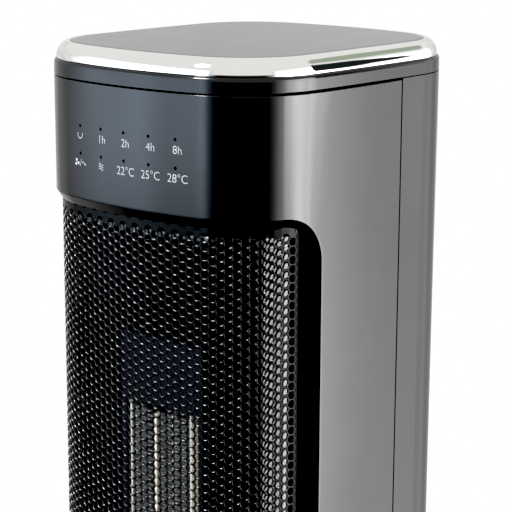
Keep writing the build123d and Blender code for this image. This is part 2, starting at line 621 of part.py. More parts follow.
# ---------------------------------------------------------------- display
DISPLAY_Y, DISPLAY_HALF = -92.0, 44.0
with BuildPart() as led_lenses:
    with BuildSketch(Plane.XZ.offset(-DISPLAY_Y - 2.0)):
        with Locations((0, LED_GRID_Z)):
            with GridLocations(LED_STEP, LED_ROW_STEP, LED_COLUMNS, 2):
                Circle(LENS_RADIUS)
    extrude(amount=HALF_DEPTH + DISPLAY_Y + 2.0)
    with BuildSketch(Plane.XY.offset(LED_ROWS_Z[1] - 5)):
        add(plan(0.02))
    extrude(amount=LED_ROW_STEP + 10, mode=Mode.INTERSECT)
save(led_lenses.part, "led_lenses")

with BuildPart() as display_board:
    with BuildSketch(Plane.XZ.offset(-DISPLAY_Y)):
        with Locations((0, LED_GRID_Z)):
            Rectangle(2 * DISPLAY_HALF, 40)
            with GridLocations(LED_STEP, LED_ROW_STEP, LED_COLUMNS, 2):
                Circle(LENS_RADIUS + 0.1, mode=Mode.SUBTRACT)
    extrude(amount=-1.6)
    with BuildSketch(Plane.XZ.offset(-DISPLAY_Y - 1.6)):
        with Locations((-30, LED_GRID_Z)):
            Rectangle(14, 6)
        with Locations((20, LED_GRID_Z)):
            Rectangle(9, 9)
    extrude(amount=-4)
save(display_board.part, "display_board")

# ---------------------------------------------------------------- heating element
HEATER_FRONT_Y, HEATER_DEPTH = -72.5, 16.0
HEATER_FOOT, HEATER_TOP = 140.0, HEIGHT - 204.0
RAIL_SHEET, BAR_THICK, BAR_DEEP = 1.2, 3.0, 10.0
BEIGE_X = (-7.3, 25.7)
RAIL_X = (-26.2, 7.2, 20.9)
FIN_COLUMNS = ((-25.6, -8.8), (-5.8, 6.6), (7.8, 20.3))
FIN_STEP, FIN_SHEET = 3.0, 0.4
HEATER_MID_Y = HEATER_FRONT_Y + HEATER_DEPTH / 2
HEATER_HEIGHT = HEATER_TOP - HEATER_FOOT

with BuildPart() as heater_rails:
    with BuildSketch(Plane.XY.offset(HEATER_FOOT)):
        with Locations(*[(x, HEATER_MID_Y) for x in RAIL_X]):
            Rectangle(RAIL_SHEET, HEATER_DEPTH)
    extrude(amount=HEATER_HEIGHT)
save(heater_rails.part, "heater_rails")

with BuildPart() as ceramic_bars:
    with BuildSketch(Plane.XY.offset(HEATER_FOOT)):
        # the left bar is flush with the rails' front, the right one is set back
        with Locations((BEIGE_X[0], HEATER_FRONT_Y + BAR_DEEP / 2), (BEIGE_X[1], HEATER_MID_Y)):
            Rectangle(BAR_THICK, BAR_DEEP)
    extrude(amount=HEATER_HEIGHT)
save(ceramic_bars.part, "ceramic_bars")

FIN_COUNT = int(HEATER_HEIGHT / FIN_STEP)
with BuildPart() as heater_fins:
    with BuildSketch(Plane.XZ.offset(-HEATER_FRONT_Y)):
        for left, right in FIN_COLUMNS:
            with Locations(((left + right) / 2, (HEATER_FOOT + HEATER_TOP) / 2)):
                with GridLocations(0, FIN_STEP, 1, FIN_COUNT):
                    Rectangle(right - left - 0.1, FIN_SHEET)
    extrude(amount=-HEATER_DEPTH)
save(heater_fins.part, "heater_fins")

END_BLOCK = 10.0
with BuildPart() as heater_end_blocks:
    with BuildSketch(Plane.XY.offset(HEATER_TOP + 0.1)):
        with Locations((0, HEATER_MID_Y)):
            Rectangle(62, HEATER_DEPTH + 4)
    extrude(amount=40)
    with BuildSketch(Plane.XY.offset(HEATER_FOOT - END_BLOCK - 0.1)):
        with Locations((0, HEATER_MID_Y)):
            Rectangle(62, HEATER_DEPTH + 4)
    extrude(amount=END_BLOCK)
    # side posts join the two blocks
    with BuildSketch(Plane.XY.offset(HEATER_FOOT - END_BLOCK - 0.1)):
        with Locations((29.6, HEATER_MID_Y), (-29.6, HEATER_MID_Y)):
            Rectangle(2.8, HEATER_DEPTH + 4)
    extrude(amount=HEATER_HEIGHT + 50)
save(heater_end_blocks.part, "heater_end_blocks")

DUCT_HALF, DUCT_WALL = 31.2, 2.0
FUSE_X = DUCT_HALF + DUCT_WALL + 2.5
TERMINAL_X = (-14.0, 0.0, 14.0)
with BuildPart() as heater_terminals:
    with BuildSketch(Plane.XY.offset(HEATER_TOP + 40.1)):
        with Locations(*[(x, HEATER_MID_Y) for x in TERMINAL_X]):
            Rectangle(0.8, 6.3)
    extrude(amount=9)
save(heater_terminals.part, "heater_terminals")

with BuildPart() as thermal_cutout:
    with BuildSketch(Plane.YZ.offset(DUCT_HALF + DUCT_WALL + 0.1)):
        with Locations((HEATER_MID_Y + 6, HEATER_TOP + 22)):
            Circle(8)
    extrude(amount=9)
    with BuildSketch(Plane.YZ.offset(DUCT_HALF + DUCT_WALL + 0.1)):
        with Locations((HEATER_MID_Y + 6, HEATER_TOP + 22)):
            Rectangle(10, 26)
    extrude(amount=0.8)
save(thermal_cutout.part, "thermal_cutout")

with BuildPart() as thermal_fuse:
    with BuildSketch(Plane.XY.offset(HEATER_TOP + 10)):
        with Locations((-FUSE_X, HEATER_MID_Y + 6)):
            Circle(2.2)
    extrude(amount=12)
    with BuildSketch(Plane.XY.offset(HEATER_TOP + 4)):
        with Locations((-FUSE_X, HEATER_MID_Y + 6)):
            Circle(0.6)
    extrude(amount=24)
save(thermal_fuse.part, "thermal_fuse")

# ---------------------------------------------------------------- air duct, blower wheel and motor
WHEEL_Y, WHEEL_RADIUS, WHEEL_FOOT, WHEEL_TOP = 24.0, 30.0, 134.0, 384.0
DUCT_FOOT, DUCT_TOP = 122.0, 424.0
SHAFT_RADIUS = 4.0
PANEL_Y, PANEL_THICK = -70.0, 1.6  # the flat panel the heater looks through
DUCT_FRONT_Y = PANEL_Y + PANEL_THICK + 0.1

with BuildPart() as duct_walls:
    # each side wall runs from the heater's post back round the wheel
    with BuildSketch(Plane.XY.offset(DUCT_FOOT)):
        with BuildLine():
            Polyline((DUCT_HALF, DUCT_FRONT_Y), (DUCT_HALF + DUCT_WALL, DUCT_FRONT_Y))
            Polyline((DUCT_HALF + DUCT_WALL, DUCT_FRONT_Y), (DUCT_HALF + DUCT_WALL, -30))
            Polyline((DUCT_HALF + DUCT_WALL, -30), (62, 6), (62, 60), (60, 60), (60, 6.7))
            Polyline((60, 6.7), (DUCT_HALF, -29.3), (DUCT_HALF, DUCT_FRONT_Y))
        make_face()
        with BuildLine():
            Polyline((-DUCT_HALF, DUCT_FRONT_Y), (-DUCT_HALF - DUCT_WALL, DUCT_FRONT_Y))
            Line((-DUCT_HALF - DUCT_WALL, DUCT_FRONT_Y), (-DUCT_HALF - DUCT_WALL, -3))
            ThreePointArc((-DUCT_HALF - DUCT_WALL, -3), (-36.6, 10), (-41, 30))
            Polyline((-41, 30), (-62, 40), (-62, 60), (-60, 60), (-60, 41.3), (-39.2, 31.4))
            ThreePointArc((-39.2, 31.4), (-34.7, 10), (-DUCT_HALF, -3))
            Line((-DUCT_HALF, -3), (-DUCT_HALF, DUCT_FRONT_Y))
        make_face()
    extrude(amount=DUCT_TOP - DUCT_FOOT)
save(duct_walls.part, "duct_walls")

PANEL_HALF = 70.5
with BuildPart() as duct_mouth:
    with BuildSketch(Plane.XZ.offset(-PANEL_Y)):
        with Locations((0, (MOUTH_FOOT + MOUTH_TOP) / 2)):
            Rectangle(2 * PANEL_HALF, MOUTH_TOP - MOUTH_FOOT)
        with Locations((0, (DUCT_FOOT + HEATER_TOP + 40.4) / 2)):
            Rectangle(2 * DUCT_HALF, HEATER_TOP + 40.4 - DUCT_FOOT, mode=Mode.SUBTRACT)
    extrude(amount=-PANEL_THICK)
    # shelves run forward to the liner above and below
    with BuildSketch(Plane.XY.offset(MOUTH_FOOT)):
        add(plan(LINER_INSET + LINER_SHEET + 0.2))
        with Locations((0, PANEL_Y + PANEL_THICK / 2 + 200)):
            Rectangle(400, 400, mode=Mode.SUBTRACT)
        with Locations((PANEL_HALF + 100, 0), (-PANEL_HALF - 100, 0)):
            Rectangle(200, 400, mode=Mode.SUBTRACT)
    extrude(amount=PANEL_THICK)
    with BuildSketch(Plane.XY.offset(MOUTH_TOP - PANEL_THICK)):
        add(plan(LINER_INSET + LINER_SHEET + 0.2))
        with Locations((0, PANEL_Y + PANEL_THICK / 2 + 200)):
            Rectangle(400, 400, mode=Mode.SUBTRACT)
        with Locations((PANEL_HALF + 100, 0), (-PANEL_HALF - 100, 0)):
            Rectangle(200, 400, mode=Mode.SUBTRACT)
    extrude(amount=PANEL_THICK)
save(duct_mouth.part, "duct_mouth")

with BuildPart() as duct_floor:
    with BuildSketch(Plane.XY.offset(DUCT_FOOT - DUCT_WALL - 0.1)):
        with Locations((0, -4)):
            Rectangle(126, 128)
        with Locations((0, WHEEL_Y)):
            Circle(SHAFT_RADIUS + 3, mode=Mode.SUBTRACT)
    extrude(amount=DUCT_WALL)
save(duct_floor.part, "duct_floor")

with BuildPart() as duct_roof:
    with BuildSketch(Plane.XY.offset(DUCT_TOP + 0.1)):
        with Locations((0, 5)):
            Rectangle(126, 110)
    extrude(amount=DUCT_WALL)
save(duct_roof.part, "duct_roof")

BLADES, BLADE_SHEET = 28, 0.9
with BuildPart() as blower_wheel:
    with BuildSketch(Plane.XY.offset(WHEEL_FOOT)):
        with PolarLocations(WHEEL_RADIUS - 4.5, BLADES):
            with Locations(Rotation(0, 0, 55)):
                Rectangle(9, BLADE_SHEET)
    extrude(amount=WHEEL_TOP - WHEEL_FOOT)
    for level in (WHEEL_FOOT, (WHEEL_FOOT + WHEEL_TOP) / 2, WHEEL_TOP - 1.5):
        with BuildSketch(Plane.XY.offset(level)):
            Circle(WHEEL_RADIUS)
            Circle(SHAFT_RADIUS - 0.03, mode=Mode.SUBTRACT)
        extrude(amount=1.5)
save(blower_wheel.part.moved(Location((0, WHEEL_Y, 0))), "blower_wheel")

with BuildPart() as blower_shaft:
    with BuildSketch(Plane.XY.offset(DUCT_FOOT - 8)):
        Circle(SHAFT_RADIUS - 0.03)
    extrude(amount=WHEEL_TOP + 32 - DUCT_FOOT + 8)
save(blower_shaft.part.moved(Location((0, WHEEL_Y, 0))), "blower_shaft")

with BuildPart() as lower_bearing:
    with BuildSketch(Plane.XY.offset(DUCT_FOOT - 12)):
        with Locations((0, WHEEL_Y)):
            Circle(11)
    extrude(amount=2)
    with BuildSketch(Plane.XY.offset(DUCT_FOOT - 10)):
        with Locations((0, WHEEL_Y)):
            Circle(11)
            Circle(SHAFT_RADIUS, mode=Mode.SUBTRACT)
    extrude(amount=10 - DUCT_WALL - 0.1)
save(lower_bearing.part, "lower_bearing")

MOTOR_FOOT, MOTOR_TOP, STATOR_RADIUS = WHEEL_TOP + 3.0, WHEEL_TOP + 36.0, 27.0
ROTOR_RADIUS = 14.0
with BuildPart() as motor_case:
    with BuildSketch(Plane.XY.offset(MOTOR_FOOT)):
        Circle(STATOR_RADIUS)
        Circle(SHAFT_RADIUS + 0.02, mode=Mode.SUBTRACT)
    extrude(amount=MOTOR_TOP - MOTOR_FOOT)
    with BuildSketch(Plane.XY.offset(MOTOR_FOOT + 3)):
        Circle(STATOR_RADIUS - 2)
    extrude(amount=MOTOR_TOP - MOTOR_FOOT - 6, mode=Mode.SUBTRACT)
    with BuildSketch(Plane.XY.offset(MOTOR_TOP - 3)):
        with PolarLocations(STATOR_RADIUS + 3, 3, 90):
            Rectangle(14, 9)
    extrude(amount=3)
save(motor_case.part.moved(Location((0, WHEEL_Y, 0))), "blower_motor_case")

with BuildPart() as stator:
    with BuildSketch(Plane.XY.offset(MOTOR_FOOT + 6)):
        Circle(STATOR_RADIUS - 2.1)
        Circle(STATOR_RADIUS - 5, mode=Mode.SUBTRACT)
        with PolarLocations((STATOR_RADIUS + ROTOR_RADIUS) / 2 - 0.5, 6):
            Rectangle(STATOR_RADIUS - ROTOR_RADIUS - 4, 5)
        Circle(ROTOR_RADIUS + 0.5, mode=Mode.SUBTRACT)
    extrude(amount=18)
save(stator.part.moved(Location((0, WHEEL_Y, 0))), "blower_motor_stator")

with BuildPart() as rotor:
    with BuildSketch(Plane.XY.offset(MOTOR_FOOT + 5)):
        Circle(ROTOR_RADIUS)
        Circle(SHAFT_RADIUS - 0.03, mode=Mode.SUBTRACT)
    extrude(amount=20)
save(rotor.part.moved(Location((0, WHEEL_Y, 0))), "blower_motor_rotor")

# ---------------------------------------------------------------- power board
with BuildPart() as power_board:
    with BuildSketch(Plane.XY.offset(BOARD_Z)):
        Rectangle(118, 106)
        with Locations(*BOARD_POSTS):
            Circle(1.6, mode=Mode.SUBTRACT)
    extrude(amount=1.6)
save(power_board.part, "power_board")

with BuildPart() as board_parts:
    for x, y, width, depth, height in (
        (-30, -20, 19, 15, 15),  # relays
        (-6, -20, 19, 15, 15),
        (26, -22, 26, 22, 20),  # transformer
        (34, 14, 12, 30, 14),  # suppression capacitor
        (-34, 12, 16, 22, 9),  # terminal block
    ):
        with BuildSketch(Plane.XY.offset(BOARD_Z + 1.6)):
            with Locations((x, y)):
                Rectangle(width, depth)
        extrude(amount=height)
    with BuildSketch(Plane.XY.offset(BOARD_Z + 1.6)):
        with Locations((4, -40), (18, -42)):
            Circle(5)
    extrude(amount=16)
save(board_parts.part, "power_board_parts")

with BuildPart() as board_screws:
    with BuildSketch(Plane.XY.offset(BOARD_Z + 1.6)):
        with Locations(*BOARD_POSTS):
            Circle(2.8)
    extrude(amount=1.8)
    with BuildSketch(Plane.XY.offset(BOARD_Z - 7)):
        with Locations(*BOARD_POSTS):
            Circle(1.25)
    extrude(amount=8.6)
save(board_screws.part, "power_board_screws")

# ---------------------------------------------------------------- wiring
WIRE_RADIUS = 1.3
WIRE_BOTTOM, WIRE_LEVEL, WIRE_TOP = BOARD_Z + 11.0, BOARD_Z + 22.0, HEATER_TOP + 62.0
with BuildPart() as wires:
    for number, terminal in enumerate(TERMINAL_X):
        start_x, start_y = -38 + 4 * number, 12
        side_y = -4 - 5 * number
        level, top = WIRE_LEVEL + 4 * number, WIRE_TOP + 4 * number
        with BuildLine():
            FilletPolyline(
                (start_x, start_y, WIRE_BOTTOM),
                (start_x, start_y, level),
                (-69, side_y, level),
                (-69, side_y, top),
                (terminal, HEATER_MID_Y, top),
                (terminal, HEATER_MID_Y, HEATER_TOP + 49.4),
                radius=5,
            )
        with BuildSketch(Plane.XY.offset(WIRE_BOTTOM)):
            with Locations((start_x, start_y)):
                Circle(WIRE_RADIUS)
        sweep()
save(wires.part, "wires")
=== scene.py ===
# %% [markdown]
# # A ceramic tower heater
# A gloss black tower turns on a round base.  Its measured parts come from the CAD frame, and this lesson
# gives them their looks: the moulded shells, the chrome ring, the hex-hole grille and the heater behind it.

# %% Load the measured frame
import json
import math
import random
import bmesh
import bpy
from mathutils import Matrix, Vector

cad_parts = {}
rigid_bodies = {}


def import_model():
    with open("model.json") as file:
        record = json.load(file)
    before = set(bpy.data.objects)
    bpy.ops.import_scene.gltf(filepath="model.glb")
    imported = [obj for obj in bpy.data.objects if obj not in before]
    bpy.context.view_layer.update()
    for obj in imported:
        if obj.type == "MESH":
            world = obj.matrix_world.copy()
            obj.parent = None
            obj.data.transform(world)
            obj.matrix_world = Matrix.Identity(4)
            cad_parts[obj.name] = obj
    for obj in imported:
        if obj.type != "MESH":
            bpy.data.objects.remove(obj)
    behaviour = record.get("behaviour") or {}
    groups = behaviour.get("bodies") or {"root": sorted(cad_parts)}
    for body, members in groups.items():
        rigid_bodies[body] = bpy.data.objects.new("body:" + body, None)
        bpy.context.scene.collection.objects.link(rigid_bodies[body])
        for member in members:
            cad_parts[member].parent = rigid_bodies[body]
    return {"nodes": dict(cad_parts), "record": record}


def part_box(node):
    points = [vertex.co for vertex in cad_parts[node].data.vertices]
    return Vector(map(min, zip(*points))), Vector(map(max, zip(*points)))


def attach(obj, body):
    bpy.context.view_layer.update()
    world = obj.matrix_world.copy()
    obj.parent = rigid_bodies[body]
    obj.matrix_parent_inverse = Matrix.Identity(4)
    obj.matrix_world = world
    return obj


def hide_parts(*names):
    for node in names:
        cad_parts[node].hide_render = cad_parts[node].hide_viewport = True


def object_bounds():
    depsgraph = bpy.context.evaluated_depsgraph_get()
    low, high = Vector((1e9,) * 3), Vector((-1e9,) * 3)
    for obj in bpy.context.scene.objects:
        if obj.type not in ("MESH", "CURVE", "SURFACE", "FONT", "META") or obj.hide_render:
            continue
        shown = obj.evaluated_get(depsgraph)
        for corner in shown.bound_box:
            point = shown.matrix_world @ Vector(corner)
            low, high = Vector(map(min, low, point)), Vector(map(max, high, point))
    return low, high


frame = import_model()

MM = 0.001
cad_low, cad_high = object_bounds()
tower_top = cad_high.z
print("whole box", [round(v, 4) for v in cad_low], [round(v, 4) for v in cad_high])

# %% [markdown]
# ## The camera
# A long lens stands about a metre from the tower's top, a little above it and well round to its right, so
# only the upper half is in the frame.  Three turning angles could aim it, but they are hard to read back.
# Its direction is built from three plain vectors instead, back, right and up, which fill its matrix.

# %% Place the camera
AZIMUTH, ELEVATION, ROLL = math.radians(40.93), math.radians(12.89), 0.004
AWAY, ASIDE, DROP = 0.99938, 0.00461, 0.12507  # metres from the middle of the tower's top
LENS, SENSOR = 122.6, 36.0  # millimetres
back = Vector((math.sin(AZIMUTH) * math.cos(ELEVATION), -math.cos(AZIMUTH) * math.cos(ELEVATION),
               math.sin(ELEVATION)))
right = Vector((math.cos(AZIMUTH), math.sin(AZIMUTH), 0.0))
up = back.cross(right)
camera_at = Vector((0, 0, tower_top)) + back * AWAY + right * ASIDE - up * DROP
right, up = right * math.cos(ROLL) + up * math.sin(ROLL), up * math.cos(ROLL) - right * math.sin(ROLL)

camera = bpy.data.objects.new("camera", bpy.data.cameras.new("camera"))
bpy.context.collection.objects.link(camera)
camera.data.lens = LENS
camera.data.sensor_width = SENSOR
camera.data.clip_start, camera.data.clip_end = 0.01, 50
camera.matrix_world = Matrix((
    (right.x, up.x, back.x, camera_at.x),
    (right.y, up.y, back.y, camera_at.y),
    (right.z, up.z, back.z, camera_at.z),
    (0, 0, 0, 1),
))
bpy.context.scene.camera = camera
print("camera at", [round(v, 3) for v in camera_at])

# %% [markdown]
# ## Nodes in one line
# A material or a world is a small graph of nodes.  Setting one up by hand takes three or four lines a node.
# The first helper adds a node, sets its plain values and links the rest.  The others are made from it: one
# sum, one smooth step and one light laid over another.  With them each finish below reads like a recipe.

# %% Helpers that add shader nodes
def add_node(tree, kind, settings=None, **inputs):
    """Adds a node.  inputs are socket names with _ for a space; a socket value is linked, others are set."""
    node = tree.nodes.new(kind)
    for key, value in (settings or {}).items():
        setattr(node, key, value)
    for key, value in inputs.items():
        name = key.replace("_", " ")
        socket = node.inputs[int(key[1:])] if key[0] == "i" and key[1:].isdigit() else node.inputs[name]
        if isinstance(value, bpy.types.NodeSocket):
            tree.links.new(value, socket)
        else:
            socket.default_value = value
    return node


def add_math(tree, operation, a, b=0.0):
    """One sum on one or two values; a and b are sockets or numbers."""
    return add_node(tree, "ShaderNodeMath", {"operation": operation}, i0=a, i1=b).outputs[0]


def soft_step(tree, value, start, stop, first=0.0, last=1.0):
    """Turns smoothly from first to last while value passes from start to stop."""
    return add_node(tree, "ShaderNodeMapRange", {"interpolation_type": "SMOOTHSTEP"}, Value=value, From_Min=start,
                    From_Max=stop, To_Min=first, To_Max=last).outputs["Result"]


def lay_over(tree, under, over, share):
    """Mixes two shaders: over shows where share is 1, under where it is 0."""
    mixed = add_node(tree, "ShaderNodeMixShader", Fac=share)
    tree.links.new(under.outputs[0], mixed.inputs[1])
    tree.links.new(over.outputs[0], mixed.inputs[2])
    return mixed


print("helpers ready:", add_node.__name__, add_math.__name__, soft_step.__name__, lay_over.__name__)

# %% [markdown]
# ## Studio light
# Gloss black shows nothing but its surroundings, so the light is the look.  A studio would put a tall warm
# softbox on the right, a dimmer cool one on the left, and leave the camera side dark.  Area lamps could stand
# for them, but their hard edges would show in the gloss.  One world shader paints them all instead: a colour
# ramp runs once round the horizon, so that every band fades softly into the next.

# %% Light levels round the horizon
# degrees from the front, turning towards +X, and the level there
HORIZON = (
    (-180, 0.72), (-130, 0.75), (-95, 0.72), (-70, 0.8), (-52, 3.0), (-38, 3.6), (-30, 2.9), (-20, 3.2),
    (-8, 4.2), (2, 0.6), (10, 0.0), (68, 0.0), (76, 0.35), (87, 3.1), (97, 9.2), (109, 14.0),
    (124, 11.0), (134, 7.8), (142, 3.2), (158, 2.0), (180, 0.8),
)
PEAK = 15.5  # the ramp holds shares of this level
LEFT_TINT, PLAIN_TINT = (0.80, 0.95, 1.12), (1.0, 0.99, 1.01)
world = bpy.data.worlds.new("studio")
bpy.context.scene.world = world
world.use_nodes = True
sky = world.node_tree
sky.nodes.clear()
direction = add_node(sky, "ShaderNodeTexCoord").outputs["Generated"]
split = add_node(sky, "ShaderNodeSeparateXYZ", Vector=direction)
around = add_math(sky, "ARCTAN2", split.outputs["X"], add_math(sky, "MULTIPLY", split.outputs["Y"], -1.0))
around = add_math(sky, "ADD", add_math(sky, "DIVIDE", around, 2 * math.pi), 0.5)
levels = add_node(sky, "ShaderNodeValToRGB", Fac=around)
ramp = levels.color_ramp
while len(ramp.elements) > 1:
    ramp.elements.remove(ramp.elements[-1])
ramp.elements[0].position = 0.0
ramp.elements[0].color = (HORIZON[0][1] / PEAK,) * 3 + (1,)
for degrees, level in HORIZON[1:]:
    stop = ramp.elements.new((degrees + 180) / 360)
    tint = LEFT_TINT if -60 < degrees < 10 else PLAIN_TINT
    stop.color = tuple(level / PEAK * share for share in tint) + (1,)
ramp.interpolation = "EASE"
print("horizon stops", len(ramp.elements))

# %% [markdown]
# ## Where the softboxes end
# A real softbox has a lower edge.  The left one ends a little below the horizon, so the tower's foot mirrors
# less of it, and the right one reaches down towards the floor.  Faint clouds in the level keep the bands from
# looking like paint.  Above the softboxes, and between them, stands a plain bright wall.

# %% Cut the softboxes off below and set the wall behind them
LEFT_FROM, LEFT_TO = 0.5 - 75 / 360, 0.5 + 8 / 360  # the left softbox, as shares of a turn
LEFT_EDGE, RIGHT_EDGE = (-0.235, -0.175), (-0.8, -0.45)  # heights on a sphere of radius one
BOX_TOP, WALL_FOOT, BOX_LIT = (0.26, 0.40), (0.0, 0.13), (0.02, 0.07)
height = split.outputs["Z"]
clouds = add_node(sky, "ShaderNodeTexNoise", Vector=direction, Scale=5.0, Detail=3.0).outputs["Fac"]
on_left = add_math(sky, "MULTIPLY", add_math(sky, "LESS_THAN", around, LEFT_TO),
                   add_math(sky, "GREATER_THAN", around, LEFT_FROM))
left_low, right_low = soft_step(sky, height, *LEFT_EDGE), soft_step(sky, height, *RIGHT_EDGE)
left_kept = add_math(sky, "MULTIPLY", on_left, add_math(sky, "SUBTRACT", right_low, left_low))
kept = add_math(sky, "SUBTRACT", right_low, left_kept)
cloudy = add_node(sky, "ShaderNodeMapRange", Value=clouds, From_Min=0.3, From_Max=0.7, To_Min=0.82 * PEAK,
                  To_Max=1.18 * PEAK).outputs["Result"]
band = add_node(sky, "ShaderNodeBackground", Color=levels.outputs["Color"],
                Strength=add_math(sky, "MULTIPLY", kept, cloudy))
wall = add_node(sky, "ShaderNodeBackground", Color=(1.0, 0.995, 0.975, 1), Strength=0.88)
# where a softbox stands it reaches well above the horizon; between them the wall starts at the horizon
lit = add_node(sky, "ShaderNodeMapRange", Value=levels.outputs["Color"], From_Min=BOX_LIT[0],
               From_Max=BOX_LIT[1]).outputs["Result"]
rise = add_node(sky, "ShaderNodeMix", i0=lit, i2=soft_step(sky, height, *WALL_FOOT),
                i3=soft_step(sky, height, *BOX_TOP))
lighting = lay_over(sky, band, wall, rise.outputs[0])
print("sky nodes", len(sky.nodes))

# %% [markdown]
# ## Patches in the studio
# The chrome ring and the rounded corner mirror single things that stand about: a bit of greenery, a dark
# stand, a key lamp, a weak fill.  Each is a soft oval laid over the light so far.  Its edge may be ragged.

# %% Hang the patches
turned = add_math(sky, "MULTIPLY", add_math(sky, "SUBTRACT", around, 0.5), 360.0)
raised = add_math(sky, "MULTIPLY", add_math(sky, "ARCSINE", height), 180 / math.pi)
sway = add_node(sky, "ShaderNodeTexNoise", Vector=direction, Scale=14.0, Detail=3.0).outputs["Fac"]


def squared(value):
    return add_math(sky, "POWER", add_math(sky, "ABSOLUTE", value), 2.0)


def hang_patch(under, turn, rise, half_wide, half_tall, soft, colour, strength, ragged=0.0):
    """Paints a soft oval over the light so far; turn, rise and half sizes are in degrees."""
    across = add_math(sky, "DIVIDE", add_math(sky, "SUBTRACT", turned, turn), half_wide)
    over = add_math(sky, "DIVIDE", add_math(sky, "SUBTRACT", raised, rise), half_tall)
    reach = add_math(sky, "SQRT", add_math(sky, "ADD", squared(across), squared(over)))
    fray = add_math(sky, "MULTIPLY", add_math(sky, "SUBTRACT", sway, 0.5), ragged)
    share = soft_step(sky, add_math(sky, "ADD", reach, fray), 1 - soft, 1 + soft, first=1.0, last=0.0)
    glow = add_node(sky, "ShaderNodeBackground", Color=colour + (1,), Strength=strength)
    return lay_over(sky, under, glow, share)


lighting = hang_patch(lighting, 161, 34, 15, 8, 0.25, (0.86, 1.0, 0.78), 0.44, ragged=1.0)  # greenery
lighting = hang_patch(lighting, 140.5, 14, 7, 12, 0.12, (0.8, 0.95, 1.0), 0.03, ragged=0.7)  # dark stand
lighting = hang_patch(lighting, -22, 45, 10, 8, 0.2, (1.0, 0.99, 0.97), 110.0)  # key lamp, left of the camera
lighting = hang_patch(lighting, -150, -25, 13, 15, 0.45, (0.94, 0.98, 1.0), 2.4)  # weak fill for the left side
print("sky nodes", len(sky.nodes))

# %% [markdown]
# ## Backdrop and print
# The eye sees plain white paper behind the tower, while the gloss still mirrors the studio: a Light Path node
# tells the two apart.  Product pictures sink their deepest greys to black, so the view curve does that too.

# %% Set the backdrop and the view curve
BLACK_LEVEL = 0.014
paper = add_node(sky, "ShaderNodeBackground", Color=(1, 1, 1, 1), Strength=1.0)
seen = add_node(sky, "ShaderNodeLightPath").outputs["Is Camera Ray"]
output = add_node(sky, "ShaderNodeOutputWorld")
sky.links.new(lay_over(sky, lighting, paper, seen).outputs[0], output.inputs["Surface"])
view = bpy.context.scene.view_settings
view.view_transform = "Standard"
view.use_curve_mapping = True
view.curve_mapping.black_level = (BLACK_LEVEL,) * 3
view.curve_mapping.update()
print("view", view.view_transform, "black level", BLACK_LEVEL)

# %% [markdown]
# ## The tower's plan
# Every shell follows one rounded square made of eight tangent arcs: two bulging faces, two nearly flat sides
# and four corners.  A curve object could carry that outline, but the mesh code below needs any point of it
# on demand.  If a point is given as a distance along the outline, a depth under it and a height, then a flat
# drawing can be wrapped round the tower.

# %% Measure the outline
shell_low, shell_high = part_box("front_shell")
half_width, half_depth = shell_high[0], -shell_low[1]
FRONT_RADIUS, SIDE_RADIUS, CORNER_RADIUS = 260 * MM, 1500 * MM, 53 * MM
front_centre, side_centre = FRONT_RADIUS - half_depth, half_width - SIDE_RADIUS
HALVINGS = 60  # enough for a search by halves to reach the last digit


def corner_centre():
    """The corner arc's centre, found by sliding it along the front arc's offset until it meets the side."""
    low, high = 0.0, half_width
    for _ in range(HALVINGS):
        x = (low + high) / 2
        y = front_centre - math.sqrt((FRONT_RADIUS - CORNER_RADIUS) ** 2 - x * x)
        reach = math.hypot(x - side_centre, y)
        low, high = (x, high) if reach < SIDE_RADIUS - CORNER_RADIUS else (low, x)
    return x, y


corner_x, corner_y = corner_centre()
front_turn = math.atan2(corner_x, front_centre - corner_y)
side_turn = math.atan2(-corner_y, corner_x - side_centre)
corner_turn = math.pi / 2 - front_turn - side_turn
FRONT_RUN = FRONT_RADIUS * front_turn
CORNER_RUN = CORNER_RADIUS * corner_turn
SIDE_RUN = SIDE_RADIUS * side_turn
HALF_RUN = 2 * (FRONT_RUN + CORNER_RUN + SIDE_RUN)
print("outline", round(2 * HALF_RUN, 4), "corner centre", round(corner_x, 4), round(corner_y, 4))

# %% Wrap a flat drawing round the tower
def plan_at(along, inset=0.0):
    """Point and outward normal at a distance along the outline from the front's middle, towards +X."""
    side = 1 if along >= 0 else -1
    s = abs(along)
    behind = s > HALF_RUN / 2
    if behind:
        s = HALF_RUN - s
    if s < FRONT_RUN:
        turn, radius, cx, cy = s / FRONT_RADIUS, FRONT_RADIUS, 0.0, front_centre
    elif s < FRONT_RUN + CORNER_RUN:
        turn = front_turn + (s - FRONT_RUN) / CORNER_RADIUS
        radius, cx, cy = CORNER_RADIUS, corner_x, corner_y
    else:
        turn = math.pi / 2 - side_turn + (s - FRONT_RUN - CORNER_RUN) / SIDE_RADIUS
        radius, cx, cy = SIDE_RADIUS, side_centre, 0.0
    nx, ny = math.sin(turn), -math.cos(turn)
    x, y = cx + (radius - inset) * nx, cy + (radius - inset) * ny
    if behind:
        y, ny = -y, -ny
    return side * x, y, side * nx, ny


def wrap(along, z, inset=0.0):
    """The point at a distance along the outline, a height and a depth under the outline."""
    x, y, _, _ = plan_at(along, inset)
    return Vector((x, y, z))


def along_at_y(y, inset=0.0):
    """How far along the outline the +X side reaches a given y."""
    low, high = 0.0, HALF_RUN
    for _ in range(HALVINGS):
        middle = (low + high) / 2
        low, high = (middle, high) if plan_at(middle, inset)[1] < y else (low, middle)
    return low


print("front's middle", [round(v, 4) for v in wrap(0, tower_top)])

# %% [markdown]
# ## Making meshes
# Each piece below is a list of points and faces.  Modifiers could shape some of them from simple solids, but
# lists keep every edge exactly where it belongs.  One helper turns them into an object that rides on its CAD
# body and takes a finish.  The others weld what touches, join rings of points and round an edge.

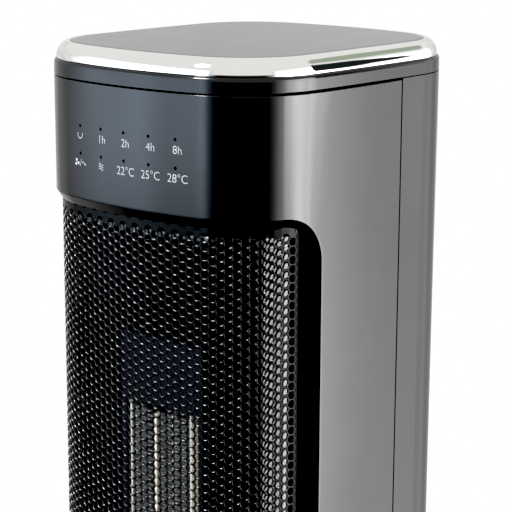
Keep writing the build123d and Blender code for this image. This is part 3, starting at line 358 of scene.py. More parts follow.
# %% Helpers that make one piece
def make_piece(name, points, faces, finish, body="tower", stands_for=(), smooth=True):
    """An object that rides on a CAD body; stands_for names the CAD nodes that it hides."""
    mesh = bpy.data.meshes.new(name)
    mesh.from_pydata([tuple(p) for p in points], [], faces)
    mesh.validate()
    mesh.polygons.foreach_set("use_smooth", [smooth] * len(mesh.polygons))
    mesh.materials.append(finish)
    piece = bpy.data.objects.new(name, mesh)
    bpy.context.collection.objects.link(piece)
    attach(piece, body)
    if stands_for:
        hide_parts(*stands_for)
    print(name, len(points), "points", len(faces), "faces")
    return piece


def weld(piece, distance=0.01 * MM):
    """Joins points that lie on each other and makes the faces look outwards."""
    form = bmesh.new()
    form.from_mesh(piece.data)
    bmesh.ops.remove_doubles(form, verts=form.verts, dist=distance)
    bmesh.ops.recalc_face_normals(form, faces=form.faces)
    form.to_mesh(piece.data)
    form.free()
    return piece


def loft(rings, closed=True, cap_first=False, cap_last=False):
    """Points and quads that join equal rings of points in order."""
    count = len(rings[0])
    points = [p for ring in rings for p in ring]
    faces = []
    for level in range(len(rings) - 1):
        for i in range(count if closed else count - 1):
            j = (i + 1) % count
            a, b = level * count, (level + 1) * count
            faces.append((a + i, a + j, b + j, b + i))
    if cap_first:
        faces.append(tuple(reversed(range(count))))
    if cap_last:
        faces.append(tuple(range((len(rings) - 1) * count, len(rings) * count)))
    return points, faces


def quarter_turn(count, first=0):
    """Sine and cosine at even steps of a quarter turn, for rounding an edge."""
    return [(math.sin(math.pi / 2 * k / count), math.cos(math.pi / 2 * k / count)) for k in range(first, count + 1)]


print("a quarter turn in 5 steps has", len(quarter_turn(5)), "points")

# %% [markdown]
# ## Finishes
# The shells are one moulded black plastic with a soft gloss: a dark base, a slightly uneven roughness and a
# ripple too fine to see that breaks the reflections up.  The other finishes start from the same recipe, so
# one function mixes them all from a colour, a roughness and a few habits of the surface.

# %% Mix the finishes
UNEVEN = 0.12  # how far the roughness strays either way, as a share


def make_finish(name, colour, roughness, metallic=0.0, ripple=0.0, ripple_scale=900.0, mottle=0.0, ior=1.5):
    """A procedural finish: mottled colour, uneven roughness and a fine surface ripple."""
    material = bpy.data.materials.new(name)
    material.use_nodes = True
    tree = material.node_tree
    shader = tree.nodes["Principled BSDF"]
    shader.inputs["Metallic"].default_value = metallic
    shader.inputs["IOR"].default_value = ior
    place = add_node(tree, "ShaderNodeTexCoord").outputs["Object"]
    broad = add_node(tree, "ShaderNodeTexNoise", Vector=place, Scale=38.0, Detail=4.0, Roughness=0.6)
    low = tuple(max(0.0, c * (1 - mottle)) for c in colour) + (1,)
    high = tuple(min(1.0, c * (1 + mottle)) for c in colour) + (1,)
    tint = add_node(tree, "ShaderNodeMix", {"data_type": "RGBA"}, i0=broad.outputs["Fac"], i6=low, i7=high)
    tree.links.new(tint.outputs[2], shader.inputs["Base Color"])
    spread = add_node(tree, "ShaderNodeMapRange", Value=broad.outputs["Fac"], From_Min=0.3, From_Max=0.7,
                      To_Min=roughness * (1 - UNEVEN), To_Max=roughness * (1 + UNEVEN))
    tree.links.new(spread.outputs["Result"], shader.inputs["Roughness"])
    if ripple:
        fine = add_node(tree, "ShaderNodeTexNoise", Vector=place, Scale=ripple_scale, Detail=3.0)
        bump = add_node(tree, "ShaderNodeBump", Strength=ripple, Distance=0.2 * MM, Height=fine.outputs["Fac"])
        tree.links.new(bump.outputs["Normal"], shader.inputs["Normal"])
    return material


# %% Finishes that show: the casing, the grille, the heater and the print
shell_black = make_finish("gloss black shell", (0.0008, 0.0008, 0.0009), 0.15, ripple=0.02, mottle=0.2)
lid_black = make_finish("gloss black lid", (0.0008, 0.0008, 0.0009), 0.14, ripple=0.01, mottle=0.2, ior=1.46)
panel_black = make_finish("polished touch panel", (0.003, 0.003, 0.003), 0.13, mottle=0.1)
ring_chrome = make_finish("bright chrome", (0.86, 0.86, 0.85), 0.03, metallic=1.0, mottle=0.02)
grille_paint = make_finish("satin grille paint", (0.001, 0.001, 0.001), 0.2, mottle=0.3, ior=1.2)
grille_lip = make_finish("glossy punched edge", (0.001, 0.001, 0.001), 0.12, mottle=0.2, ior=1.5)
edge_paint = make_finish("matt grille edge", (0.0015, 0.0015, 0.0015), 0.5, ripple=0.1, mottle=0.3, ior=1.12)
liner_black = make_finish("gloss liner", (0.0008, 0.0008, 0.0009), 0.14, mottle=0.2, ior=1.62)
duct_black = make_finish("matt duct plastic", (0.0015, 0.0016, 0.002), 0.5, ripple=0.2, mottle=0.3, ior=1.15)
fin_metal = make_finish("rolled fin aluminium", (0.10, 0.10, 0.10), 0.36, metallic=0.4, ripple=0.3, mottle=0.12)
# painted highlight: the ribbon's own aluminium, made five times lighter, for the front edges that face the light
fin_edge_highlight_metal = make_finish("fin edges with painted highlight", (0.50, 0.50, 0.49), 0.34, metallic=0.5, mottle=0.2)
end_plastic = make_finish("end block plastic", (0.005, 0.0055, 0.009), 0.45, ripple=0.1, mottle=0.2, ior=1.3)
rail_metal = make_finish("bright rail aluminium", (0.95, 0.94, 0.91), 0.3, metallic=0.4, mottle=0.06)
bar_ceramic = make_finish("fired ceramic", (0.90, 0.80, 0.66), 0.55, ripple=0.3, mottle=0.12)
print_grey = make_finish("printed labels", (0.42, 0.43, 0.44), 0.5, mottle=0.05)
lens_black = make_finish("dark lens", (0.0006, 0.0006, 0.0006), 0.6, mottle=0.1, ior=1.12)
print("finishes", len(bpy.data.materials))

# %% Finishes of the base and the inside
base_matt = make_finish("matt base plastic", (0.012, 0.012, 0.012), 0.5, ripple=0.25, mottle=0.15)
rubber = make_finish("foot rubber", (0.02, 0.02, 0.02), 0.8, ripple=0.3, mottle=0.2)
steel = make_finish("plated steel", (0.55, 0.55, 0.56), 0.35, metallic=1.0, mottle=0.08)
acetal = make_finish("natural acetal", (0.78, 0.77, 0.71), 0.45, mottle=0.04)
board_green = make_finish("circuit board", (0.02, 0.12, 0.05), 0.4, mottle=0.2)
part_black = make_finish("moulded component", (0.02, 0.02, 0.024), 0.45, mottle=0.2)
brass = make_finish("tinned brass", (0.70, 0.66, 0.52), 0.3, metallic=1.0, mottle=0.08)
wheel_metal = make_finish("stamped wheel aluminium", (0.6, 0.6, 0.61), 0.4, metallic=1.0, mottle=0.1)
mesh_cloth = make_finish("dust mesh", (0.03, 0.03, 0.03), 0.8, ripple=0.8, ripple_scale=1800, mottle=0.3)
wire_red = make_finish("silicone wire", (0.35, 0.04, 0.03), 0.5, mottle=0.1)
print("finishes", len(bpy.data.materials))

# %% [markdown]
# ## Dressing the CAD parts
# The base, the rear shell, the blower and everything inside already have their true shape, so they need only
# a finish.  Each part names its material slot in the record, and one table turns that name into a finish.
# The parts that need finer shapes are replaced piece by piece further on.

# %% Give every CAD node the finish of its slot
FINISH_OF_SLOT = {
    "shell": shell_black, "chrome": ring_chrome, "panel": panel_black, "grille": grille_paint,
    "liner": liner_black, "duct": duct_black, "heater_metal": rail_metal, "heater_ceramic": bar_ceramic,
    "terminal": brass, "led": lens_black, "board": board_green, "board_parts": part_black,
    "base": shell_black, "base_plate": base_matt, "rubber": rubber, "screw": steel, "steel": steel,
    "gear": acetal, "wheel": wheel_metal, "filter": mesh_cloth, "rocker": lid_black, "wire": wire_red,
}
for entry in frame["record"]["subparts"]:
    node = frame["nodes"][entry["node"]]
    node.data.materials.clear()
    node.data.materials.append(FINISH_OF_SLOT[entry["material_slot"]])
print("slots", len(FINISH_OF_SLOT))

# %% [markdown]
# ## The front shell and its opening
# The shell wraps from one rear seam round the front to the other.  Its big opening has rounded corners, a
# thin bright rim and a bevel that runs in to the grille.  A hole could be cut with a Boolean, but the cut
# would shade badly in gloss.  Here everything grows from one list: the hole's edge, drawn flat.  Each point
# of it knows which way is inwards, so rings can step in for the bevel and out for the shell's face.

# %% Draw the opening's edge
OPENING_BACK_Y, OPENING_CORNER = -42 * MM, 26 * MM
opening_foot, opening_top = 84 * MM, tower_top - 84.4 * MM
opening_run = along_at_y(OPENING_BACK_Y)
seam_run = along_at_y(shell_high[1])
CORNER_STEPS, SIDE_STEP, TOP_STEP = 16, 4 * MM, 1.6 * MM


def steps(start, stop, size):
    """Even steps from start up to, but not including, stop."""
    count = max(1, round((stop - start) / size))
    return [start + (stop - start) * i / count for i in range(count)]


def opening_ring():
    """The hole's outline as (along, z, inward normal) all the way round, corners included."""
    run, low, high = opening_run - OPENING_CORNER, opening_foot + OPENING_CORNER, opening_top - OPENING_CORNER

    def corner(s, z, quarters):
        """A quarter circle round (s, z) that starts after so many quarter turns."""
        turns = [math.pi / 2 * (quarters + k / CORNER_STEPS) for k in range(CORNER_STEPS)]
        return [(s + OPENING_CORNER * math.cos(a), z + OPENING_CORNER * math.sin(a), -math.cos(a), -math.sin(a))
                for a in turns]

    ring = [(opening_run, z, -1, 0) for z in steps(low, high, SIDE_STEP)] + corner(run, high, 0)
    ring += [(-s, opening_top, 0, -1) for s in steps(-run, run, TOP_STEP)] + corner(-run, high, 1)
    ring += [(-opening_run, -z, 1, 0) for z in steps(-high, -low, SIDE_STEP)] + corner(-run, low, 2)
    ring += [(s, opening_foot, 0, 1) for s in steps(-run, run, TOP_STEP)] + corner(run, low, 3)
    return ring


edge_ring = opening_ring()
print("opening", round(2 * opening_run, 4), "along,", round(opening_top - opening_foot, 4), "tall")

# %% Rings for the bevel and the rim
RIM, RIM_STEPS = 0.7 * MM, 5  # the rounded rim
BEVEL_TOP, BEVEL_SIDE = (7.5 * MM, 5.0 * MM), (10.5 * MM, 9.2 * MM)
LIP_DEEP = 4 * MM  # the bevel ends in a wall this deep


def bevel_of(nx):
    """How far in and how deep the bevel runs: wide at the sides, narrow at top and bottom."""
    share = nx * nx
    return tuple(a + (b - a) * share for a, b in zip(BEVEL_TOP, BEVEL_SIDE))


def bevel_ring(share, deeper=0.0):
    """A ring at a share of the bevel's run, counted from the shell's face."""
    ring = []
    for s, z, nx, nz in edge_ring:
        run, depth = bevel_of(nx)
        ring.append(wrap(s + nx * run * share, z + nz * run * share, depth * share + deeper))
    return ring


def rim_ring(share):
    """The rounded rim turns from the bevel's slope, at share 0, to the shell's face, at share 1."""
    ring = []
    for s, z, nx, nz in edge_ring:
        run, depth = bevel_of(nx)
        slope = math.atan2(depth, run)
        turn = slope * (1 - share)
        forward = RIM * math.sin(turn) - RIM * math.tan(slope / 2)
        ring.append(wrap(s + nx * forward, z + nz * forward, RIM * (1 - math.cos(turn))))
    return ring


rings = [bevel_ring(1.0, LIP_DEEP * share) for share in (1.0, 0.5, 0.0)]
rings += [bevel_ring(share) for share in (0.97, 0.8, 0.6, 0.4, 0.2)]
rings += [rim_ring(k / RIM_STEPS) for k in range(RIM_STEPS + 1)]
print("rings so far", len(rings), "of", len(edge_ring), "points")

# %% [markdown]
# ## The shell's face
# Spokes run from the hole's edge to the shell's border: straight along the sides, fanned out at the corners.
# Points at the same share of every spoke make the next rings.  A smooth surface shades across a whole quad,
# so the last rings crowd together near the border, and the border itself turns in over a small round.

# %% Spokes from the hole's edge to the border
seam_z, shell_foot = shell_high[2], shell_low[2]
SPOKE_SHARES = (0.0, 0.01, 0.03, 0.08, 0.16, 0.28, 0.42, 0.58, 0.74, 0.88, 0.96, 0.988)
SPOKE_START, TINY = 1.4 * MM, 1e-6


def spoke_end(s, z, nx, nz):
    """Where the spoke from one point of the hole's edge meets the shell's border."""
    side = 1 if nx < 0 else -1
    border_s, border_z = side * seam_run, seam_z if nz < 0 else shell_foot
    if abs(nx) < TINY:
        return s, border_z
    if abs(nz) < TINY:
        return border_s, z
    near_s = side * (opening_run - OPENING_CORNER)
    near_z = opening_top - OPENING_CORNER if nz < 0 else opening_foot + OPENING_CORNER
    share = math.atan2(abs(nz), abs(nx)) / (math.pi / 2)
    if share < 0.5:
        return border_s, near_z + (border_z - near_z) * 2 * share
    return near_s + (border_s - near_s) * 2 * (1 - share), border_z


border = [spoke_end(*point) for point in edge_ring]
starts = [(s - nx * SPOKE_START, z - nz * SPOKE_START) for s, z, nx, nz in edge_ring]
for share in SPOKE_SHARES:
    rings.append([wrap(s + (end_s - s) * share, z + (end_z - z) * share)
                  for (s, z), (end_s, end_z) in zip(starts, border)])
print("face rings", len(SPOKE_SHARES))

# %% Round the border and make the shell
EDGE_ROUND, EDGE_LEAD, SHELL_DEEP = 0.45 * MM, 0.15 * MM, 2.4 * MM


def pull_back(s, z, back):
    """Moves a point of the shell's border in from the seam it lies on."""
    if abs(z - seam_z) < TINY:
        z -= back
    if abs(z - shell_foot) < TINY:
        z += back
    if abs(abs(s) - seam_run) < TINY:
        s -= math.copysign(back, s)
    return s, z


rings.append([wrap(*pull_back(s, z, EDGE_ROUND + EDGE_LEAD)) for s, z in border])
for sine, cosine in quarter_turn(5):
    rings.append([wrap(*pull_back(s, z, EDGE_ROUND * (1 - sine)), EDGE_ROUND * (1 - cosine)) for s, z in border])
rings.append([wrap(s, z, SHELL_DEEP) for s, z in border])
points, faces = loft(rings)
front_shell = make_piece("front_shell_skin", points, faces, shell_black,
                         stands_for=("front_shell",))
weld(front_shell, 0.002 * MM)

# %% [markdown]
# ## The grille
# The real grille is black painted sheet, punched with rows of rounded hexagons.  A texture with holes in it
# would look flat from the side, so each hole is built as one small cell: the cell's own outline, the rounded
# lip of the hole and the punched wall.  Cells share their outlines, so a few thousand of them weld into one
# sheet.  It is drawn flat and wrapped a little under the shell.  The lips are glossier than the sheet.

# %% Draw one cell
HOLE_RISE, COLUMN_STEP = 5.0 * MM, 4.75 * MM
THIRD, HALF_RISE = COLUMN_STEP / 3, HOLE_RISE / 2
CORNERS = 12  # points round one cell
SHEET_INSET, SHEET_THICK = 3.3 * MM, 0.9 * MM
ROUNDNESS = 0.45  # 0 is a true hexagon, 1 a circle
CIRCLE_SHARE = 0.97  # that circle's radius, as a share of the cell's mean reach
# from the sheet's face down the hole: its size as a share of the cell, and the depth
LIP = ((0.895, 0.01 * MM), (0.84, 0.11 * MM), (0.805, 0.30 * MM), (0.79, SHEET_THICK))


def cell_corners(cx, cz):
    """Points round one hexagonal cell, flat at its top and bottom: its corners and the middles between."""
    six = [(2 * THIRD, 0), (THIRD, HALF_RISE), (-THIRD, HALF_RISE), (-2 * THIRD, 0), (-THIRD, -HALF_RISE),
           (THIRD, -HALF_RISE)]
    ring = []
    for i in range(6):
        (ax, az), (bx, bz) = six[i], six[(i + 1) % 6]
        ring += [(cx + ax, cz + az), (cx + (ax + bx) / 2, cz + (az + bz) / 2)]
    return ring


def hole_points(cx, cz, size):
    """A rounded hexagon of the cell's shape: corners are pulled in towards a round hole."""
    circle = CIRCLE_SHARE * (2 * THIRD + HALF_RISE) / 2
    ring = []
    for x, z in cell_corners(0, 0):
        reach = math.hypot(x, z)
        even = (1 - ROUNDNESS) * reach + ROUNDNESS * circle
        ring.append((cx + x / reach * even * size, cz + z / reach * even * size))
    return ring


print("cell", round(4 * THIRD / MM, 2), "by", HOLE_RISE / MM, "mm")

# %% Punch the grille
GRILLE_REACH = 105.0 * MM  # the outer columns stop here, then the sheet rolls inwards
COLUMNS = 2 * int(GRILLE_REACH / COLUMN_STEP) + 1
grille_foot, grille_top = opening_foot + 6 * MM, opening_top - 6.2 * MM
ROWS = int((grille_top - grille_foot) / HOLE_RISE)


def punch(first, last):
    """Points, faces and, for each face, whether it belongs to a hole's lip or wall."""
    points, faces, lips = [], [], []
    for column in range(first, last):
        cx = (column - (COLUMNS - 1) / 2) * COLUMN_STEP
        for row in range(-1, ROWS + 1):
            cz = grille_foot + HOLE_RISE * (row + 0.5 + (0.5 if column % 2 else 0.0))
            start = len(points)
            if row in (-1, ROWS):
                # the sheet is left plain beyond the last holes
                points += [wrap(s, z, SHEET_INSET) for s, z in cell_corners(cx, cz)]
                faces.append(tuple(range(start, start + CORNERS)))
                lips.append(0)
                continue
            rings = [(cell_corners(cx, cz), 0.0)] + [(hole_points(cx, cz, size), depth) for size, depth in LIP]
            for ring, depth in rings:
                points += [wrap(s, z, SHEET_INSET + depth) for s, z in ring]
            for level in range(len(LIP)):
                a, b = start + level * CORNERS, start + (level + 1) * CORNERS
                for i in range(CORNERS):
                    j = (i + 1) % CORNERS
                    faces.append((a + i, b + i, b + j, a + j))
                    lips.append(int(level > 0))
    return points, faces, lips


middle = COLUMNS // 2
for part, (first, last) in (("left", (0, middle)), ("right", (middle, COLUMNS))):
    points, faces, lips = punch(first, last)
    half = make_piece("grille_holes_" + part, points, faces, grille_paint,
                      stands_for=("front_grille",) if part == "left" else ())
    half.data.materials.append(grille_lip)
    half.data.polygons.foreach_set("use_smooth", [bool(lip) for lip in lips])
    half.data.polygons.foreach_set("material_index", lips)
    weld(half)
print("grille", COLUMNS, "columns", ROWS, "rows")

# %% [markdown]
# ## The grille's rolled edges
# Beyond the outer holes the sheet is plain and rolls inwards to its clips.  The roll is a short profile,
# carried up the whole height.  It is matt, so that the roll doesn't shine as one long bright stripe.

# %% Roll the edges
ROLL, ROLL_TAIL, PLAIN = 4.5 * MM, 3 * MM, 0.6 * MM
LEVELS, BELOW, TALLER = 60, 4 * MM, 10 * MM
edge_run = (COLUMNS - 1) / 2 * COLUMN_STEP + THIRD
edge_tall = grille_top - grille_foot + TALLER
z_levels = [grille_foot - BELOW + edge_tall * i / LEVELS for i in range(LEVELS + 1)]
profile = [(edge_run - 0.5 * MM, 0.0), (edge_run + PLAIN, 0.0)]
profile += [(edge_run + PLAIN + ROLL * sine, ROLL * (1 - cosine)) for sine, cosine in quarter_turn(8, first=1)]
profile.append((profile[-1][0], ROLL + ROLL_TAIL))
for side, label in ((1, "right"), (-1, "left")):
    rings = [[wrap(side * s, z, SHEET_INSET + 0.01 * MM + d) for z in z_levels] for s, d in profile]
    points, faces = loft(rings, closed=False)
    make_piece("grille_edge_" + label, points, faces, edge_paint)

# %% [markdown]
# ## The liner behind the grille
# A glossy liner stands just behind the sheet.  At the sides it curves away faster than the shell, which is
# why the outer holes look bright.  Under the top edge it carries a small ledge, which catches the light.  An
# even copy of the shell, set deeper, would miss both, so the liner has a depth of its own at every place.

# %% Shape the liner's top and foot
LINER_NEAR, LINER_DROP = 5.2 * MM, 1.4 * MM
DROP_FROM, DROP_OVER = 86 * MM, 12 * MM
LINER_CROSS = 112  # steps across
TUCK, LEDGE_DEEP, DUCT_DEEP = 4 * MM, 4.5 * MM, 14 * MM
mouth_run, liner_run = 80 * MM, 105 * MM
ledge_top, mouth_top, mouth_foot = opening_top - 10.2 * MM, opening_top - 17.5 * MM, opening_foot + 17 * MM


def liner_inset(s):
    """How deep the liner's face lies: it curves away past DROP_FROM, over DROP_OVER."""
    past = min(1.0, max(0.0, (abs(s) - DROP_FROM) / DROP_OVER))
    return LINER_NEAR + LINER_DROP * (1 - (1 - past) ** 2)


def liner_patch(runs, profile):
    """A strip of liner: profile gives height and how much deeper than the liner's own face."""
    rings = [[wrap(s, z, liner_inset(s) + d) for s in runs] for z, d in profile]
    return loft(rings, closed=False)


LEDGE_ROUND = 0.8 * MM
top_profile = [(opening_top + TUCK, LEDGE_DEEP), (ledge_top, LEDGE_DEEP), (ledge_top, LEDGE_ROUND)]
top_profile += [(ledge_top - LEDGE_ROUND * (1 - cosine), LEDGE_ROUND * (1 - sine))
                for sine, cosine in quarter_turn(5, first=1)]
top_profile += [(mouth_top + 1.5 * MM, 0), (mouth_top + 0.5 * MM, 0.3 * MM), (mouth_top, 1.2 * MM),
                (mouth_top, DUCT_DEEP)]
across = [-liner_run + 2 * liner_run * i / LINER_CROSS for i in range(LINER_CROSS + 1)]
points, faces = liner_patch(across, top_profile)
make_piece("liner_top", points, faces, liner_black, stands_for=("grille_liner",))
foot_profile = [(mouth_foot, DUCT_DEEP), (mouth_foot, 1.0 * MM), (mouth_foot - 1 * MM, 0.2 * MM),
                (mouth_foot - 2 * MM, 0), (opening_foot - TUCK, 0)]
points, faces = liner_patch(across, foot_profile)
make_piece("liner_foot", points, faces, liner_black)

# %% Shape the liner's sides
SIDE_CROSS = 24  # steps across one side
MOUTH_EDGE = (16 * MM, 1.2 * MM, 0.3 * MM)  # depths down the duct's mouth
side_ends = (mouth_foot, mouth_top + 1 * MM)
for side, label in ((1, "right"), (-1, "left")):
    runs = [side * (mouth_run + (liner_run - mouth_run) * i / SIDE_CROSS) for i in range(SIDE_CROSS + 1)]
    rings = [[wrap(side * mouth_run, z, liner_inset(mouth_run) + d) for z in side_ends]
             for d in MOUTH_EDGE]
    rings += [[wrap(s, z, liner_inset(s)) for z in side_ends] for s in runs]
    points, faces = loft(rings, closed=False)
    make_piece("liner_side_" + label, points, faces, liner_black)

# %% [markdown]
# ## A strip lamp for the grille
# Small rounded edges only show if a narrow lamp runs along them.  In the painted sky it would also streak the
# shell and the chrome.  As an area light it can be linked to the grille and the liner alone, so it draws the
# thin glints and leaves the rest as it is.

# %% Hang the strip lamp
STRIP_TURN, STRIP_RISE, STRIP_AWAY = math.radians(-30), math.radians(46), 1.3
STRIP_SIZE, STRIP_WATTS, AIM_DROP = (1.1, 0.16), 120.0, 0.18
strip_way = Vector((math.sin(STRIP_TURN) * math.cos(STRIP_RISE),
                    -math.cos(STRIP_TURN) * math.cos(STRIP_RISE), math.sin(STRIP_RISE)))
strip = bpy.data.lights.new("grille strip", "AREA")
strip.shape = "RECTANGLE"
strip.size, strip.size_y = STRIP_SIZE
strip.energy = STRIP_WATTS
strip.color = (0.95, 0.99, 1.0)
strip_lamp = bpy.data.objects.new("grille_strip", strip)
bpy.context.collection.objects.link(strip_lamp)
strip_lamp.location = Vector((0, -half_depth, tower_top - AIM_DROP)) + strip_way * STRIP_AWAY
strip_lamp.rotation_euler = strip_way.to_track_quat("Z", "Y").to_euler()
glinting = bpy.data.collections.new("glinting pieces")
for piece in bpy.data.objects:
    if piece.name.startswith(("grille_holes", "liner_")):
        glinting.objects.link(piece)
strip_lamp.light_linking.receiver_collection = glinting

# %% [markdown]
# ## The heater's fins
# Between the rails runs a thin aluminium ribbon, folded over and over.  Each column is one zigzag path,
# given a little thickness, so the folds catch the light at different slants.  No fold is quite like the next:
# a seeded random wobble moves each a little, the same way every run.  The front edges carry a painted highlight.

# %% Fold the fins
fin_low, fin_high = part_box("heater_fins")
FIN_COLUMNS = ((-25.6, -8.8), (-5.8, 6.6), (7.8, 20.3))  # millimetres, left and right end
FOLD, RIBBON, WOBBLE = 2.6 * MM, 0.25 * MM, 0.25
SIDE_GAP, FACE_GAP = 0.1 * MM, 0.2 * MM


def zigzag(x0, x1):
    """The ribbon's path up one column, from side to side, as (x, z)."""
    path, z, turn = [], fin_low[2] + 1 * MM, 0
    while z < fin_high[2] - FOLD:
        wobble = random.uniform(-WOBBLE, WOBBLE) * MM
        a, b = (x0, x1) if turn % 2 == 0 else (x1, x0)
        path += [(a, z + wobble * 0.4), (a + (b - a) * 0.06, z + 0.12 * FOLD + wobble),
                 (a + (b - a) * 0.94, z + 0.38 * FOLD + wobble), (b, z + 0.5 * FOLD)]
        z += FOLD * 0.5
        turn += 1
    return path


random.seed(7)
points, faces = [], []
front, rear = fin_low[1] + FACE_GAP, fin_high[1] - FACE_GAP
for left, right_edge in FIN_COLUMNS:
    path = zigzag(left * MM + SIDE_GAP, right_edge * MM - SIDE_GAP)
    start = len(points)
    for x, z in path:
        for y in (front, rear):
            points.append((x, y, z + RIBBON / 2))
            points.append((x, y, z - RIBBON / 2))
    for i in range(len(path) - 1):
        a, b = start + 4 * i, start + 4 * (i + 1)
        faces += [(a, a + 1, b + 1, b), (a, b, b + 2, a + 2), (a + 1, a + 3, b + 3, b + 1),
                  (a + 2, b + 2, b + 3, a + 3)]
fins = make_piece("fin_ribbons", points, faces, fin_metal, stands_for=("heater_fins",),
                  smooth=False)
# the front edge of every fold takes the lighter copy of the aluminium: a painted highlight
fins.data.materials.append(fin_edge_highlight_metal)
fins.data.polygons.foreach_set("material_index", [int(i % 4 == 0) for i in range(len(fins.data.polygons))])

# %% [markdown]
# ## The ceramic stones
# Each heating bar is a row of small fired stones, one above another.  A plain block would look too sharp, so
# each stone is a stack of rounded rectangles that pinch in at both ends.  The left row is flush with the
# rails' front, so it shows between the fins; the right one sits further back.

# %% Stack the stones
bar_low, bar_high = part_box("ceramic_bars")
BAR_WIDTH, BAR_DEEP = 3.0 * MM, 10.0 * MM
STONE_TALL, STONE_GAP, STONE_ROUND = 23 * MM, 0.35 * MM, 0.35 * MM
STONE_PINCH, PINCH_TALL, STONE_CLEAR = 0.93, 0.2 * MM, 0.1 * MM


def stone(x, front, rear, foot, top):
    """An upright block whose four long edges are rounded: rings of a rounded rectangle, capped."""
    half = BAR_WIDTH / 2
    outline = []
    for sx, sy, start in ((1, 1, 0), (-1, 1, 90), (-1, -1, 180), (1, -1, 270)):
        cx, cy = x + sx * (half - STONE_ROUND), (rear if sy > 0 else front) - sy * STONE_ROUND
        for k in range(4):
            a = math.radians(start + 30 * k)
            outline.append((cx + STONE_ROUND * math.cos(a), cy + STONE_ROUND * math.sin(a)))
    rings = []
    for z, pinch in ((foot, STONE_PINCH), (foot + PINCH_TALL, 1.0), (top - PINCH_TALL, 1.0), (top, STONE_PINCH)):
        rings.append([Vector((x + (px - x) * pinch, py, z)) for px, py in outline])
    return loft(rings, cap_first=True, cap_last=True)


points, faces = [], []
left_row = (bar_low[0] + BAR_WIDTH / 2, bar_low[1])
right_row = (bar_high[0] - BAR_WIDTH / 2, bar_high[1] - BAR_DEEP)
for x, front in (left_row, right_row):
    foot = bar_low[2] + STONE_CLEAR
    while foot + STONE_TALL < bar_high[2] + STONE_CLEAR:
        block, quads = stone(x, front, front + BAR_DEEP, foot, foot + STONE_TALL - STONE_GAP)
        start = len(points)
        points += block
        faces += [tuple(start + i for i in quad) for quad in quads]
        foot += STONE_TALL
weld(make_piece("ceramic_stones", points, faces, bar_ceramic, stands_for=("ceramic_bars",),
                smooth=False))
frame["nodes"]["heater_end_blocks"].data.materials[0] = end_plastic

# %% [markdown]
# ## Lid, chrome ring and touch panel
# The lid is a low black band with a soft shoulder.  A chrome ring with a quarter-ellipse section sits on it,
# and the flat panel drops into the ring with a hairline gap.  A curve with a bevel object could sweep them,
# but its profile would tilt in the corners.  Here a profile is a list of depths and heights, and every point
# of it follows the tower's plan at its own depth.

# %% A helper that sweeps a profile round the plan
OUTLINE_COUNT = round(2 * HALF_RUN / (1.2 * MM))
outline_runs = [HALF_RUN * (2 * i / OUTLINE_COUNT - 1) for i in range(OUTLINE_COUNT)]


def sweep_profile(profile, name, finish, stands_for, cap_last=False, dip=lambda s, z: 0.0):
    """dip says how far a point of the profile hangs lower than drawn at one place round the outline."""
    rings = [[wrap(s, z - dip(s, z), inset) for s in outline_runs] for inset, z in profile]
    points, faces = loft(rings, cap_last=cap_last)
    return make_piece(name, points, faces, finish, stands_for=stands_for)


print("points round the outline", OUTLINE_COUNT)

# %% Sweep the lid
LEAN, SHOULDER, LID_EDGE, LID_TUCK = 1.3 * MM, 2.6 * MM, 0.45 * MM, 3.2 * MM
SEAM_RISE, SEAM_DIP, REAR_DIP = 1.25 * MM, 0.7 * MM, 0.1 * MM
DIP_ENDS, DIP_FADE = 100 * MM, 25 * MM  # along the outline from the front's middle
REAR_SHELL_Y = 27 * MM  # where the rear shell begins
lid_foot, chrome_foot = seam_z + SEAM_RISE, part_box("chrome_ring")[0][2]
rear_run = along_at_y(REAR_SHELL_Y)
lid_profile = [(LID_TUCK, seam_z - 3 * MM), (LID_TUCK, lid_foot)]
lid_profile += [(LID_EDGE * (1 - sine), lid_foot + LID_EDGE * (1 - cosine)) for sine, cosine in quarter_turn(5)]
lid_profile += [(0.01 * MM, lid_foot + 0.6 * MM), (0.08 * MM, chrome_foot - SHOULDER - 0.3 * MM)]
lid_profile += [(0.1 * MM + (LEAN - 0.05 * MM) * (1 - cosine),
                 chrome_foot - SHOULDER + (SHOULDER - 0.06 * MM) * sine) for sine, cosine in quarter_turn(8)]
lid_profile.append((LEAN + 3 * MM, chrome_foot - 0.05 * MM))


def seam_dip(s, z):
    """The seam is fine across the front, and opens along the sides up to the rear shell."""
    if z > lid_foot + 1 * MM:
        return 0.0
    front_share = min(1.0, max(0.0, (DIP_ENDS - abs(s)) / DIP_FADE))
    return SEAM_DIP * front_share if abs(s) < rear_run else REAR_DIP


sweep_profile(lid_profile, "lid_band", lid_black, ("lid",), dip=seam_dip)

# %% Sweep the chrome ring
PANEL_EDGE = 8.95 * MM
ring_width, ring_rise = PANEL_EDGE - LEAN - 0.1 * MM, tower_top - chrome_foot - 0.1 * MM
ring_profile = [(LEAN + 2 * MM, chrome_foot + 0.12 * MM), (LEAN + 0.4 * MM, chrome_foot + 0.12 * MM)]
ring_profile += [(LEAN + 0.1 * MM + ring_width * (1 - cosine),
                  chrome_foot + 0.15 * MM + (ring_rise - 0.05 * MM) * sine) for sine, cosine in quarter_turn(24)]
ring_profile += [(PANEL_EDGE + 0.25 * MM, tower_top - 0.25 * MM), (PANEL_EDGE + 0.3 * MM, tower_top - 2 * MM)]
sweep_profile(ring_profile, "chrome_trim", ring_chrome, ("chrome_ring",))

# %% Sweep the touch panel
panel_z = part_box("top_panel")[1][2]
panel_profile = [(PANEL_EDGE + 0.75 * MM, panel_z - 2.2 * MM), (PANEL_EDGE + 0.62 * MM, panel_z - 0.3 * MM),
                 (PANEL_EDGE + 0.75 * MM, panel_z - 0.08 * MM), (PANEL_EDGE + 1.1 * MM, panel_z)]
panel_profile += [(inset, panel_z) for inset in (14 * MM, 24 * MM, 38 * MM)]
sweep_profile(panel_profile, "touch_panel", panel_black, ("top_panel",), cap_last=True)

